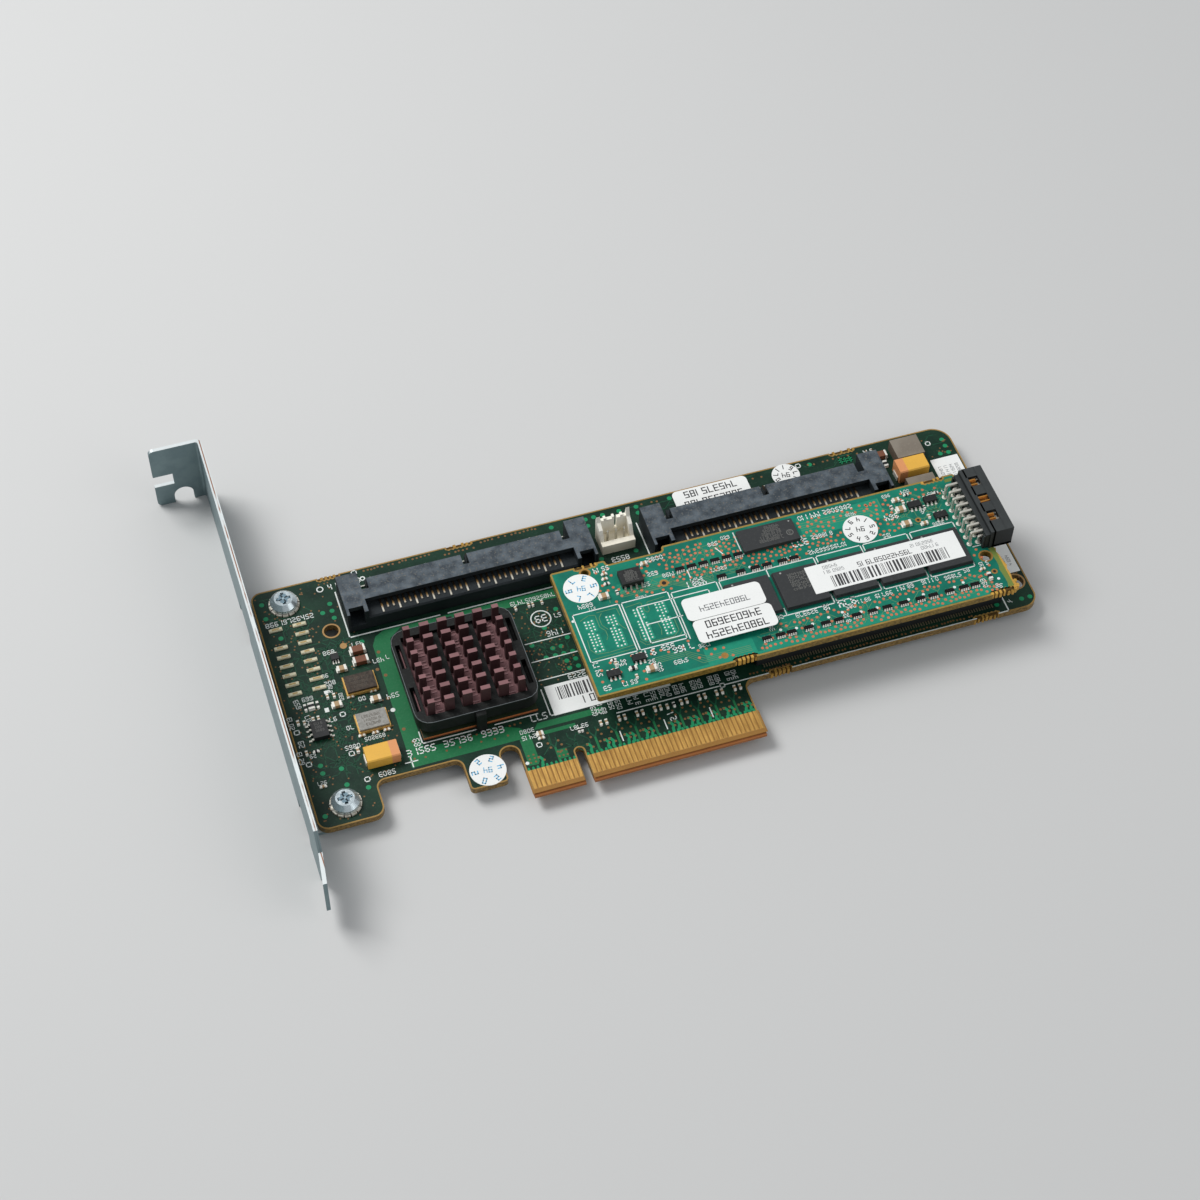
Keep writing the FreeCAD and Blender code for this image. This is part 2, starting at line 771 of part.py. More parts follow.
def guide_block(centre, front, side):
    """The hollow block at one end that takes the plug's latch."""
    outer = centre + side * receptacle_length / 2
    inner = outer - side * guide_width
    x0, x1 = sorted((outer, inner))
    whole = block(x0, front, receptacle_standoff, x1, front + guide_rear, receptacle_height)
    p0, p1 = sorted((outer - side * guide_outer_wall, inner + side * guide_inner_wall))
    pocket = block(p0, front, guide_floor, p1, front + guide_front + guide_pocket_depth,
                   receptacle_height - cover_thickness)
    open_top = block(p0, front, guide_floor, p1, front + guide_front, receptacle_height)
    return whole.cut([pocket, open_top])


def receptacle_contact_xs(centre):
    xs = []
    for side in (-1, 1):
        for i in range(receptacle_contacts_per_group):
            xs.append((centre + side * receptacle_pitch * (i + 1), i % long_contact_every == 0))
    return xs


def receptacle_contacts(centre, front):
    """Flat blades on the tongue that run back over the housing and down to feet on the board."""
    t = receptacle_contact_thickness
    rear_top = receptacle_rear_height
    rear = front + receptacle_rear
    step = front + tongue_depth
    solids = []
    for x, is_long in receptacle_contact_xs(centre):
        start = front + (long_contact_start if is_long else short_contact_start)
        section = [(start, tongue_height), (step, tongue_height), (step, rear_top), (rear, rear_top),
                   (rear, 0), (front + tail_foot_end, 0), (front + tail_foot_end, t),
                   (rear + t, t), (rear + t, rear_top + t), (step + t, rear_top + t),
                   (step + t, tongue_height + t), (start, tongue_height + t)]
        solids.append(bar_along_x(section, x - receptacle_contact_width / 2,
                                  x + receptacle_contact_width / 2))
    return solids


# ---- White power header ----
def header_side(x0, horn):
    """One side wall of the header: low in front, rising to a pointed horn at the rear corner."""
    front = header_front
    rear = header_front + header_depth
    section = [(front, 0), (rear, 0), (rear, header_height), (rear - header_horn_depth * 0.45, horn),
               (rear - header_horn_depth, header_height), (front + header_slope_depth, header_slope_height),
               (front + header_lip_depth, header_lip_height), (front, header_lip_height)]
    return bar_along_x(section, x0, x0 + header_wall)


def header_housing():
    """A moulded shroud, open in front above a low lip, with ribs behind the pins on its rear wall."""
    x0 = header_x - header_width / 2
    x1 = header_x + header_width / 2
    y0 = header_front
    y1 = header_front + header_depth
    base = block(x0, y0, 0, x1, y1, header_floor)
    lip = block(x0, y0, 0, x1, y0 + header_lip_depth, header_lip_height)
    rear = block(x0, y1 - header_wall, 0, x1, y1, header_height)
    slot_x = header_x + (header_rib_width + header_slot_width) / 2
    slot_low = header_lip_height
    slot = slab(slot_x, y1 - header_wall / 2, slot_low, header_slot_width, header_wall,
                header_height - slot_low)
    ribs = [slab(x, y1 - header_wall / 2, header_floor, header_rib_width, header_wall,
                 header_height + header_rib_rise - header_floor) for x in header_pin_xs()]
    sides = [header_side(x0, header_horn_heights[0]),
             header_side(x1 - header_wall, header_horn_heights[1])]
    cuts = [slab(x, header_pin_y(), 0, header_pin_side, header_pin_side, header_floor)
            for x in header_pin_xs()]
    return base.fuse([lip, rear.cut(slot)] + ribs + sides).cut(cuts).removeSplitter()


def header_pins():
    low = -board_thickness - header_pin_tail
    return [slab(x, header_pin_y(), low, header_pin_side, header_pin_side, header_pin_top - low)
            for x in header_pin_xs()]


# ---- Mezzanine connector ----
def mezzanine_socket():
    """The lower half, soldered to the main board, with a long slot for the plug."""
    half = socket_depth / 2
    slot = socket_slot / 2
    section = [(mezzanine_y - half, 0), (mezzanine_y + half, 0), (mezzanine_y + half, socket_height),
               (mezzanine_y + slot, socket_height), (mezzanine_y + slot, socket_floor),
               (mezzanine_y - slot, socket_floor), (mezzanine_y - slot, socket_height),
               (mezzanine_y - half, socket_height)]
    body = bar_along_x(section, mezzanine_left, mezzanine_right)
    ends = []
    for x0, x1 in ((mezzanine_left, mezzanine_left + plug_end_clearance),
                   (mezzanine_right - plug_end_clearance, mezzanine_right)):
        ends.append(block(x0, mezzanine_y - slot, socket_floor, x1, mezzanine_y + slot, socket_height))
    return body.fuse(ends).removeSplitter()


def mezzanine_plug():
    """The upper half, soldered under the module: a flange with a blade that fills the slot."""
    blade = socket_slot / 2 - plug_clearance
    flange = plug_flange / 2
    low = socket_floor + plug_clearance
    section = [(mezzanine_y - blade, low), (mezzanine_y + blade, low), (mezzanine_y + blade, socket_height),
               (mezzanine_y + flange, socket_height), (mezzanine_y + flange, module_floor),
               (mezzanine_y - flange, module_floor), (mezzanine_y - flange, socket_height),
               (mezzanine_y - blade, socket_height)]
    inset = plug_end_clearance + plug_clearance
    return bar_along_x(section, mezzanine_left + inset, mezzanine_right - inset)


def lead_xs():
    count = int((mezzanine_right - mezzanine_left - 2 * plug_end_clearance) / lead_pitch)
    start = (mezzanine_left + mezzanine_right - lead_pitch * (count - 1)) / 2
    return [start + lead_pitch * i for i in range(count)]


def mezzanine_leads(half_depth, face_z, direction):
    """Feet that stand out of both long sides of one half and lie on the board face."""
    z0, z1 = sorted((face_z, face_z + direction * lead_thickness))
    leads = []
    for x in lead_xs():
        for side in (-1, 1):
            y0, y1 = sorted((mezzanine_y + side * half_depth, mezzanine_y + side * (half_depth + lead_foot)))
            leads.append(block(x - lead_width / 2, y0, z0, x + lead_width / 2, y1, z1))
    return leads


# ---- Cache module ----
def battery_pin_places():
    """Every pin as (x of its foot, y, height of its run above the module)."""
    start = battery_y - battery_pitch * (battery_columns - 1) / 2
    places = []
    for i in range(battery_columns):
        y = start + battery_pitch * i
        places.append((battery_back_x - battery_far_row, y, battery_upper_pin))
        places.append((battery_back_x - battery_near_row, y, battery_lower_pin))
    return places


def module_board():
    relief_top_y = module_top - module_relief_depth
    outline = [
        (module_left, module_bottom, module_corner),
        (module_right, module_bottom, module_corner),
        (module_right, module_top, module_corner),
        (module_relief_right, module_top, module_corner),
        (module_relief_right, relief_top_y, module_corner),
        (module_relief_left, relief_top_y, module_corner),
        (module_relief_left, module_top, module_corner),
        (module_left, module_top, module_corner),
    ]
    board = plate(outline, module_floor, module_thickness)
    cuts = [rod(module_right - module_hole_inset[0], module_bottom + module_hole_inset[1], module_floor,
                module_hole_radius, module_thickness),
            rod(module_left + module_notch_inset[0], module_top - module_notch_inset[1], module_floor,
                module_notch_radius, module_thickness)]
    hole_radius = battery_pin_side * math.sqrt(0.5) + pin_hole_clearance
    for x, y, rise in battery_pin_places():
        cuts.append(small_hole(x, y, module_floor, hole_radius, module_thickness))
    for x, y, inward in ((module_left + module_nibs_in, module_bottom, 1),
                         (module_right - module_nibs_from_right, module_bottom, 1),
                         (module_left + module_top_nibs, module_top, -1),
                         (module_right - module_far_top_nibs, module_top, -1)):
        cuts += breakaway_recess(x, y, inward, 5, module_floor, module_thickness)
    return board.cut(cuts)


def memory_chip(x):
    """A flat moulded package with its substrate showing as a step at the foot."""
    low = module_face + memory_standoff
    foot = slab(x, memory_y, low, memory_width, memory_depth, memory_thickness * 0.35)
    cap = slab(x, memory_y, low + memory_thickness * 0.35, memory_width - memory_edge_step,
               memory_depth - memory_edge_step, memory_thickness * 0.65)
    return foot.fuse(cap)


def battery_header_housing():
    """A two-row shroud that overhangs the module's edge, open outward, with windows on top."""
    x0 = battery_back_x
    x1 = battery_back_x + battery_body_depth
    y0 = battery_y - battery_body_length / 2
    y1 = battery_y + battery_body_length / 2
    z0 = module_face
    z1 = module_face + battery_body_height
    body = block(x0, y0, z0, x1, y1, z1)
    cavity = block(x1 - battery_cavity_depth, y0 + battery_wall, z0 + battery_wall,
                   x1, y1 - battery_wall, z1 - battery_wall)
    cuts = [cavity]
    for i in (-1, 0, 1):
        window_y = battery_y + i * battery_window_spacing
        cuts.append(slab(x1 - battery_cavity_depth + battery_window_width, window_y, z1 - battery_wall,
                         battery_window_width, battery_window_length, battery_wall))
    for x, y, rise in battery_pin_places():
        cuts.append(slab(x0 + (battery_body_depth - battery_cavity_depth) / 2, y,
                         z0 + rise - battery_pin_side / 2,
                         battery_body_depth - battery_cavity_depth, battery_pin_side, battery_pin_side))
    return body.cut(cuts).removeSplitter()


def battery_pin(x, y, rise):
    """A square pin: down through the module, up, over and into the shroud."""
    half = battery_pin_side / 2
    low = module_floor - battery_tail
    run_low = module_face + rise - half
    run_high = module_face + rise + half
    tip = battery_back_x + battery_body_depth - battery_cavity_depth + battery_contact_reach
    section = [(x - half, low), (x + half, low), (x + half, run_low), (tip, run_low), (tip, run_high),
               (x - half + 0.3, run_high), (x - half, run_high - 0.3)]
    return bar_along_y(section, y - half, y + half)


# ---- Chips with side leads ----
def leaded_chip(chip, face_z, along_x):
    """A moulded body with four bent leads on each long side; returns the body and the leads."""
    x, rise, width, depth, height = chip
    y = share(rise)
    body = slab(x, y, face_z + chip_body_rise, width, depth, height)
    shoulder = face_z + chip_body_rise + height * 0.45
    t = chip_lead_thickness
    leads = []
    for side in (-1, 1):
        for i in range(4):
            shift = chip_lead_pitch * (i - 1.5)
            if along_x:
                start = x + side * width / 2
                end = start + side * chip_lead_reach
                knee = start + side * chip_lead_reach * 0.45
                section = lead_section(start, knee, end, side, face_z, shoulder, t)
                leads.append(bar_along_y(section, y + shift - chip_lead_width / 2,
                                         y + shift + chip_lead_width / 2))
            else:
                start = y + side * depth / 2
                end = start + side * chip_lead_reach
                knee = start + side * chip_lead_reach * 0.45
                section = lead_section(start, knee, end, side, face_z, shoulder, t)
                leads.append(bar_along_x(section, x + shift - chip_lead_width / 2,
                                         x + shift + chip_lead_width / 2))
    return body, leads


def lead_section(start, knee, end, side, face_z, shoulder, t):
    """A gull-wing lead's side view: out of the body, down, and out along the board."""
    return [(start, shoulder), (knee, shoulder), (knee, face_z + t), (end, face_z + t),
            (end, face_z), (knee - side * t, face_z), (knee - side * t, shoulder - t),
            (start, shoulder - t)]


def tantalum(place):
    """A moulded block with a chamfered crown over its two end terminals."""
    x, rise, height = place
    y = share(rise)
    width, depth = tantalum_size
    low = 0.15
    crown = 0.25
    half = depth / 2
    section = [(y - half, low), (y + half, low), (y + half, height - crown), (y + half - crown, height),
               (y - half + crown, height), (y - half, height - crown)]
    body = bar_along_x(section, x - width / 2, x + width / 2)
    terminals = []
    for side in (-1, 1):
        face = x + side * width / 2
        x0, x1 = sorted((face, face + side * tantalum_terminal * 0.4))
        upright = block(x0, y - tantalum_terminal_width / 2, 0, x1, y + tantalum_terminal_width / 2,
                        tantalum_terminal_height)
        f0, f1 = sorted((face - side * 1.1, face))
        foot = block(f0, y - tantalum_terminal_width / 2, 0, f1, y + tantalum_terminal_width / 2, low)
        terminals.append(upright.fuse(foot).removeSplitter())
    return body, terminals


def parts_on(places, size, face_z):
    """Plain bodies of one size at several places on one board face."""
    return [slab(x, share(y), face_z, size[0], size[1], size[2]) for x, y in places]


def past_receptacle(places):
    """Places given from the far end of the second receptacle."""
    return [(receptacle_end + x, y) for x, y in places]


def coupling_capacitors():
    """The pairs of small capacitors in line with the edge contacts."""
    width, depth, height = coupling_size
    return [slab(x + side * coupling_gap / 2, coupling_y, 0, width, depth, height)
            for x in coupling_pairs for side in (-1, 1)]


def under_capacitors():
    """Small decoupling capacitors on the solder side, below the processor."""
    width, depth, height = coupling_size
    solids = []
    for i in range(under_capacitor_columns):
        x = processor_x + under_capacitor_pitch * (i - (under_capacitor_columns - 1) / 2)
        for j in range(under_capacitor_rows):
            y = processor_y + under_capacitor_pitch * (j - (under_capacitor_rows - 1) / 2)
            solids.append(slab(x, y, -board_thickness - height, width, depth, height))
    return solids


def header_pads():
    """Two columns of tinned pads for a test header, one of them left unplated."""
    pads = []
    full_column = list(range(pad_count))
    gapped_column = list(range(pads_before_gap)) + list(range(pads_before_gap + 1, pad_count))
    for x, rows in zip(pad_columns, (gapped_column, full_column)):
        for i in rows:
            y = card_height - pad_inset - pad_pitch * i
            pads.append(slab(x, y, 0, pad_size[0], pad_size[1], pad_size[2]))
    return pads


# ---- Paper labels ----
def flat_label(corner_x, corner_y, width, depth, z, radius):
    return rounded_slab(corner_x + width / 2, corner_y + depth / 2, z, width, depth, label_thickness, radius)


def placed_label(place, from_x, z):
    """A label given as (corner x, corner y, width, depth), with its x counted from from_x."""
    x, y, width, depth = place
    return block(from_x + x, share(y), z, from_x + x + width, share(y) + depth, z + label_thickness)


def board_labels():
    over_tails = receptacle_contact_thickness + tail_clearance
    behind = receptacle_front[1] + receptacle_rear + receptacle_contact_thickness + rear_label_gap
    rear_x = receptacle_x[1] - receptacle_length / 2
    round_x, round_radius = rear_round_label
    return [
        placed_label(board_barcode, 0, 0),
        placed_label((-end_barcode[0],) + end_barcode[1:], card_right, 0),
        flat_label(rear_x + rear_label_inset, behind, small_label[0], small_label[1], over_tails,
                   small_label_corner),
        rod(hook_label[0], hook_label[1], 0, round_label_radius, label_thickness),
        rod(receptacle_end - round_x, behind + round_radius, over_tails, round_radius, label_thickness),
    ]


def module_labels():
    upper, lower = module_label_corners
    labels = [
        placed_label(module_barcode, 0, memory_top),
        flat_label(upper[0], share(upper[1]), small_label[0], small_label[1], memory_top, small_label_corner),
        flat_label(lower[0], share(lower[1]), small_label[0], small_label[1], memory_top + label_thickness,
                   small_label_corner),
    ]
    for x, y in module_round_labels:
        labels.append(rod(x, share(y), module_face, round_label_radius, label_thickness))
    return labels


# ---- Build every node ----
os.makedirs("parts", exist_ok=True)

save("main_board", [main_board()])
save("edge_contacts_top", edge_contacts(0, 1))
save("edge_contacts_bottom", edge_contacts(-board_thickness, -1))
save("bracket", [bracket()])
save("bracket_screws", [bracket_screw(x, y) for x, y in screw_places])
save("toothed_washers", [toothed_washer(x, y) for x, y in screw_places])

save("processor_balls", solder_balls())
save("processor_package", [slab(processor_x, processor_y, ball_height, package_side, package_side,
                                package_thickness)])
save("processor_lid", [slab(processor_x, processor_y, package_top, lid_side, lid_side, lid_thickness)])
save("thermal_pad", [slab(processor_x, processor_y, lid_top, thermal_pad_side, thermal_pad_side,
                          thermal_pad_thickness)])
save("heatsink", [heatsink()])
save("heatsink_clip", [heatsink_clip()])

for number in range(len(receptacle_x)):
    label = "cable_receptacle_" + str(number + 1)
    save(label, [receptacle_housing(receptacle_x[number], receptacle_front[number])])
    save(label + "_contacts", receptacle_contacts(receptacle_x[number], receptacle_front[number]))

save("power_header", [header_housing()])
save("power_header_pins", header_pins())

save("mezzanine_socket", [mezzanine_socket()])
save("mezzanine_plug", [mezzanine_plug()])
save("mezzanine_socket_leads", mezzanine_leads(socket_depth / 2, 0, 1))
save("mezzanine_plug_leads", mezzanine_leads(plug_flange / 2, module_floor, -1))

save("module_board", [module_board()])
for number in range(memory_count):
    save("memory_chip_" + str(number + 1), [memory_chip(memory_xs[memory_count - 1 - number])])
save("battery_header", [battery_header_housing()])
save("battery_header_pins", [battery_pin(x, y, rise) for x, y, rise in battery_pin_places()])

driver_x, driver_rise, driver_width, driver_depth, driver_height = driver_chip
save("driver_chip", [slab(driver_x, share(driver_rise), module_face + chip_body_rise, driver_width,
                          driver_depth, driver_height)])
switch_body, switch_leads = leaded_chip(power_switch, module_face, False)
save("power_switch_chip", [switch_body])
save("power_switch_leads", switch_leads)
regulator_body, regulator_leads = leaded_chip(regulator_chip, 0, True)
save("regulator_chip", [regulator_body])
save("regulator_leads", regulator_leads)

oscillator_places = [(oscillator_x, y) for y in oscillator_ys]
lid_size = (oscillator_size[0] - 2 * oscillator_rim, oscillator_size[1] - 2 * oscillator_rim,
            oscillator_lid)
save("oscillator_bases", parts_on(oscillator_places, oscillator_size + (oscillator_base,), 0))
save("oscillator_lids", parts_on(oscillator_places, lid_size, oscillator_base))
left_body, left_terminals = tantalum(tantalum_left)
far_offset, far_rise, far_height = tantalum_right
right_body, right_terminals = tantalum((receptacle_end + far_offset, far_rise, far_height))
save("tantalum_capacitor_left", [left_body])
save("tantalum_capacitor_right", [right_body])
save("tantalum_terminals", left_terminals + right_terminals)
save("power_inductors", parts_on(past_receptacle(inductor_places), inductor_size, 0))

array_places = [(x, y) for y, xs in array_rows for x in xs]
save("resistor_arrays", parts_on(array_places, array_size, module_face))
save("module_capacitors", parts_on(module_capacitor_places, medium_capacitor, module_face))
save("module_small_chips", parts_on(module_small_chips, small_chip, module_face))
save("coupling_capacitors", coupling_capacitors())
save("large_capacitors", parts_on(list(large_capacitor_places) + past_receptacle([far_capacitor_place]),
                                  large_capacitor, 0))
save("medium_capacitors", parts_on(medium_capacitor_places, medium_capacitor, 0))
save("board_small_chip", parts_on(board_small_chip_places, board_small_chip, 0))
save("solder_side_capacitors", under_capacitors())
save("test_header_pads", header_pads())
save("board_labels", board_labels())
save("module_labels", module_labels())
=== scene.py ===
import bpy
import math
import random
from mathutils import Matrix, Vector


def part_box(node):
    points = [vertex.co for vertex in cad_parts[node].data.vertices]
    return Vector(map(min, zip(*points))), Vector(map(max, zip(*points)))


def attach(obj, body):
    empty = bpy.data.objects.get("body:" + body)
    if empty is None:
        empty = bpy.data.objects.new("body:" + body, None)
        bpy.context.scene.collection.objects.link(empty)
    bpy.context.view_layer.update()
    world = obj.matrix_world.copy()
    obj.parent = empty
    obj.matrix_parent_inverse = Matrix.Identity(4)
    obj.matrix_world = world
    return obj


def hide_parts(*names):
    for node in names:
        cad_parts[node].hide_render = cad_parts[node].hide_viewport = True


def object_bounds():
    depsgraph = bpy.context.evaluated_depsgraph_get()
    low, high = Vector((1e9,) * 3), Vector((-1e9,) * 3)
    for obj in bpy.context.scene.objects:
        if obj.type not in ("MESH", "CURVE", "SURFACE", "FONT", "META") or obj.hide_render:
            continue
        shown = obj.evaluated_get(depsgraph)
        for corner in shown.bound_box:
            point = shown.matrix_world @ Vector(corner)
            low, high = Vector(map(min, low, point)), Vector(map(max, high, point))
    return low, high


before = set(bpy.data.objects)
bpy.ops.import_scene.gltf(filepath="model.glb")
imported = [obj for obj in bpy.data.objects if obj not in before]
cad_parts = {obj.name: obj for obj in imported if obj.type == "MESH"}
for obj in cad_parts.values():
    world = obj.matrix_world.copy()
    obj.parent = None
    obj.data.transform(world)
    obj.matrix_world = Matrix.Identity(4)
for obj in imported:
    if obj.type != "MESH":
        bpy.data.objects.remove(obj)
cad_low, cad_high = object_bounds()


# ---- Studio ----
# A plain pale sweep on the bench, one broad soft lamp high on the left, a weak fill from the
# right, and an even pale room around them, at a level where colours come out as mixed.
def srgb(r, g, b):
    """A colour named in 0 to 255 steps, as the linear colour that a shader takes."""
    return tuple(c / 3294.6 if c <= 10 else ((c / 255 + 0.055) / 1.055) ** 2.4 for c in (r, g, b)) + (1.0,)


def new_skin(name, colour, roughness=0.5, metallic=0.0, specular=0.5):
    """A Principled material; returns it with its shader."""
    skin = bpy.data.materials.new(name)
    skin.use_nodes = True
    shader = skin.node_tree.nodes["Principled BSDF"]
    for label, value in (("Base Color", colour), ("Roughness", roughness), ("Metallic", metallic),
                         ("Specular IOR Level", specular)):
        shader.inputs[label].default_value = value
    return skin, shader


def placed(name, data):
    """A new object in the scene that holds the data."""
    thing = bpy.data.objects.new(name, data)
    bpy.context.scene.collection.objects.link(thing)
    return thing


def soft_lamp(name, size, power, offset):
    """A broad square lamp, set off from the card's middle and turned back to it."""
    lamp = bpy.data.lights.new(name, "AREA")
    lamp.shape = "SQUARE"
    lamp.size = size
    lamp.energy = power
    holder = placed(name, lamp)
    holder.location = (cad_low + cad_high) / 2 + Vector(offset)
    holder.rotation_euler = (-Vector(offset)).to_track_quat("-Z", "Y").to_euler()


reach = 12
sweep_z = cad_low.z - 0.00002
sweep = bpy.data.meshes.new("bench_sweep")
corners = [(x * reach, y * reach, sweep_z) for x, y in ((-1, -1), (1, -1), (1, 1), (-1, 1))]
sweep.from_pydata(corners, [], [(0, 1, 2, 3)])
sweep.materials.append(new_skin("pale_paper", (0.62, 0.62, 0.61, 1.0), 0.9)[0])
bench = placed("bench_sweep", sweep)

room = bpy.data.worlds.new("room")
bpy.context.scene.world = room
room.use_nodes = True
room.node_tree.nodes["Background"].inputs["Color"].default_value = (0.93, 0.96, 1.0, 1.0)
room.node_tree.nodes["Background"].inputs["Strength"].default_value = 0.42
soft_lamp("key_lamp", 0.40, 5.6, (-0.38, 0.38, 0.70))
soft_lamp("fill_lamp", 0.60, 1.3, (0.55, -0.50, 0.60))

# A camera with a fairly long lens, high over the bracket end of the front edge.
lens = bpy.data.cameras.new("bench_camera")
lens.sensor_width = 36
lens.lens = 73.74
lens.clip_start = 0.01
lens.clip_end = 20
camera = placed("bench_camera", lens)
ahead = Vector((0.1953, 0.5749, -0.7946)).normalized()
up = Vector((0.9509, -0.3094, 0.0099)).normalized().cross(ahead).normalized()
stand = Matrix((ahead.cross(up).normalized(), up, -ahead)).transposed().to_4x4()
stand.translation = Vector((-0.0891, -0.2662, 0.4293))
camera.matrix_world = stand
bpy.context.scene.camera = camera
bpy.context.scene.view_settings.view_transform = "Standard"


# ---- Main board ----
# Glass laminate under a dark green solder mask, routed to shape, so its edges show bare
# yellow-brown laminate. Copper pours, tracks and pads show through the mask as brighter green;
# vias are open copper; the print is white ink. All of it stands a few hundredths proud.
class Brush:
    """Adds nodes to one tree. It knows the shaded point, in the card's own frame and in mm."""
    def __init__(self, tree):
        self.tree = tree
        self.place = self.node("VectorMath", {0: self.node("TexCoord", {})["Object"], "Scale": 1000},
                               operation="SCALE")[0]
        self.x, self.y, self.z = self.node("SeparateXYZ", {0: self.place})

    def node(self, kind, inputs, **settings):
        """A new node's outputs. An input takes an output, a number, or a colour in 0 to 255 steps."""
        made = self.tree.nodes.new("ShaderNode" + kind)
        for name, value in settings.items():
            setattr(made, name, value)
        for socket, value in inputs.items():
            if isinstance(value, bpy.types.NodeSocket):
                self.tree.links.new(value, made.inputs[socket])
            else:
                is_colour = kind == "Mix" and isinstance(value, tuple) and len(value) == 3
                made.inputs[socket].default_value = srgb(*value) if is_colour else value
        return made.outputs

    def maths(self, operation, first, second=0.0, clamp=False):
        return self.node("Math", {0: first, 1: second}, operation=operation, use_clamp=clamp)[0]

    def plus(self, first, *more):
        for value in more:
            first = self.maths("ADD", first, value)
        return first

    def times(self, first, *more):
        for value in more:
            first = self.maths("MULTIPLY", first, value)
        return first

    def mix(self, amount, first, second):
        return self.node("Mix", {0: amount, 6: first, 7: second}, data_type="RGBA")[2]

    def ramp(self, value, low, high):
        """0 at low, 1 at high, and a straight slope between; low may be above high."""
        return self.node("MapRange", {"Value": value, "From Min": low, "From Max": high})["Result"]

    def noise(self, size, detail=3.0, place=None):
        """Noise whose blobs are about size mm across."""
        scale = 1 / size if isinstance(size, float) else self.maths("DIVIDE", 1.0, size)
        return self.node("TexNoise", {"Vector": place or self.place, "Detail": detail, "Scale": scale})["Fac"]

    def facing(self):
        """The surface's upward lean, from -1 to 1."""
        return self.node("SeparateXYZ", {0: self.node("NewGeometry", {})["Normal"]})["Z"]


# Every finish on the card has fine grain, slow blotches, some settled specks, and on some pieces an even film
# on faces that look up and stand above a given height. On most pieces that film is a settled dusting; on the
# heatsink and the inductors it is painted light that makes their tops lighter.
grain = bpy.data.node_groups.new("grain_and_dust_and_light", "ShaderNodeTree")
for label, kind, value in (("Colour", "Color", (0.5, 0.5, 0.5, 1)), ("Rough", "Float", 0.5),
                           ("Grain mm", "Float", 0.3), ("Variation", "Float", 0.2), ("Specks", "Float", 0.1),
                           ("Film", "Float", 0.0), ("Film above mm", "Float", -9.0),
                           ("Dust and light colour", "Color", (0.13, 0.135, 0.135, 1))):
    grain.interface.new_socket(label, in_out="INPUT", socket_type="NodeSocket" + kind).default_value = value
for label, kind in (("Colour", "Color"), ("Roughness", "Float"), ("Height", "Float")):
    grain.interface.new_socket(label, in_out="OUTPUT", socket_type="NodeSocket" + kind)
given = grain.nodes.new("NodeGroupInput").outputs
brush = Brush(grain)
fine, broad = brush.noise(given["Grain mm"]), brush.noise(4.0, 2.0)
offset = brush.plus(brush.times(fine, 0.6), brush.times(broad, 0.4), -0.5)
gain = brush.plus(brush.times(offset, given["Variation"], 4.0), 1.0)
varied = brush.node("VectorMath", {0: given["Colour"], "Scale": gain}, operation="SCALE")[0]
raised = brush.ramp(brush.maths("SUBTRACT", brush.z, given["Film above mm"]), -0.1, 0.1)
specks = brush.times(brush.ramp(brush.noise(0.5, 4.0), 0.55, 0.70), given["Specks"])
film = brush.times(raised, given["Film"], brush.plus(brush.times(brush.ramp(broad, 0.35, 0.65), 0.35), 0.75))
upward = brush.ramp(brush.facing(), 0.2, 0.9)
# This mask carries settled dusting, and painted light on the pieces whose film stands for lit tops.
dust_and_light_mask = brush.maths("MULTIPLY", brush.plus(specks, film), upward, True)
rough = brush.plus(given["Rough"], brush.times(offset, 0.3))
outcome = (brush.mix(dust_and_light_mask, varied, given["Dust and light colour"]),
           brush.maths("ADD", rough, brush.times(dust_and_light_mask, 0.35), True), fine)
for value, socket in zip(outcome, grain.nodes.new("NodeGroupOutput").inputs):
    grain.links.new(value, socket)


def finish(name, colour, rough=0.5, metallic=0.0, specular=0.5, grain_mm=0.3, variation=0.12, specks=0.1,
           film=0.0, film_above=-9.0, dust_and_light=None, bump=0.15, paint=None):
    """A finish with grain and a dusting; on some pieces that film is painted light that makes the tops
    lighter. paint(brush) may give a socket that takes the plain colour's place.
    """
    skin, shader = new_skin(name, srgb(*colour), rough, metallic, specular)
    nodes, link = skin.node_tree.nodes, skin.node_tree.links.new
    layer = nodes.new("ShaderNodeGroup")
    layer.node_tree = grain
    for label, value in (("Colour", srgb(*colour)), ("Rough", rough), ("Grain mm", grain_mm),
                         ("Variation", variation), ("Specks", specks), ("Film", film),
                         ("Film above mm", film_above)):
        layer.inputs[label].default_value = value
    if dust_and_light:
        layer.inputs["Dust and light colour"].default_value = srgb(*dust_and_light)
    if paint:
        link(paint(Brush(skin.node_tree)), layer.inputs["Colour"])
    dent = nodes.new("ShaderNodeBump")
    dent.inputs["Strength"].default_value = bump
    dent.inputs["Distance"].default_value = 0.00002
    for label, socket in (("Colour", shader.inputs["Base Color"]), ("Roughness", shader.inputs["Roughness"]),
                          ("Height", dent.inputs["Height"])):
        link(layer.outputs[label], socket)
    link(dent.outputs["Normal"], shader.inputs["Normal"])
    return skin


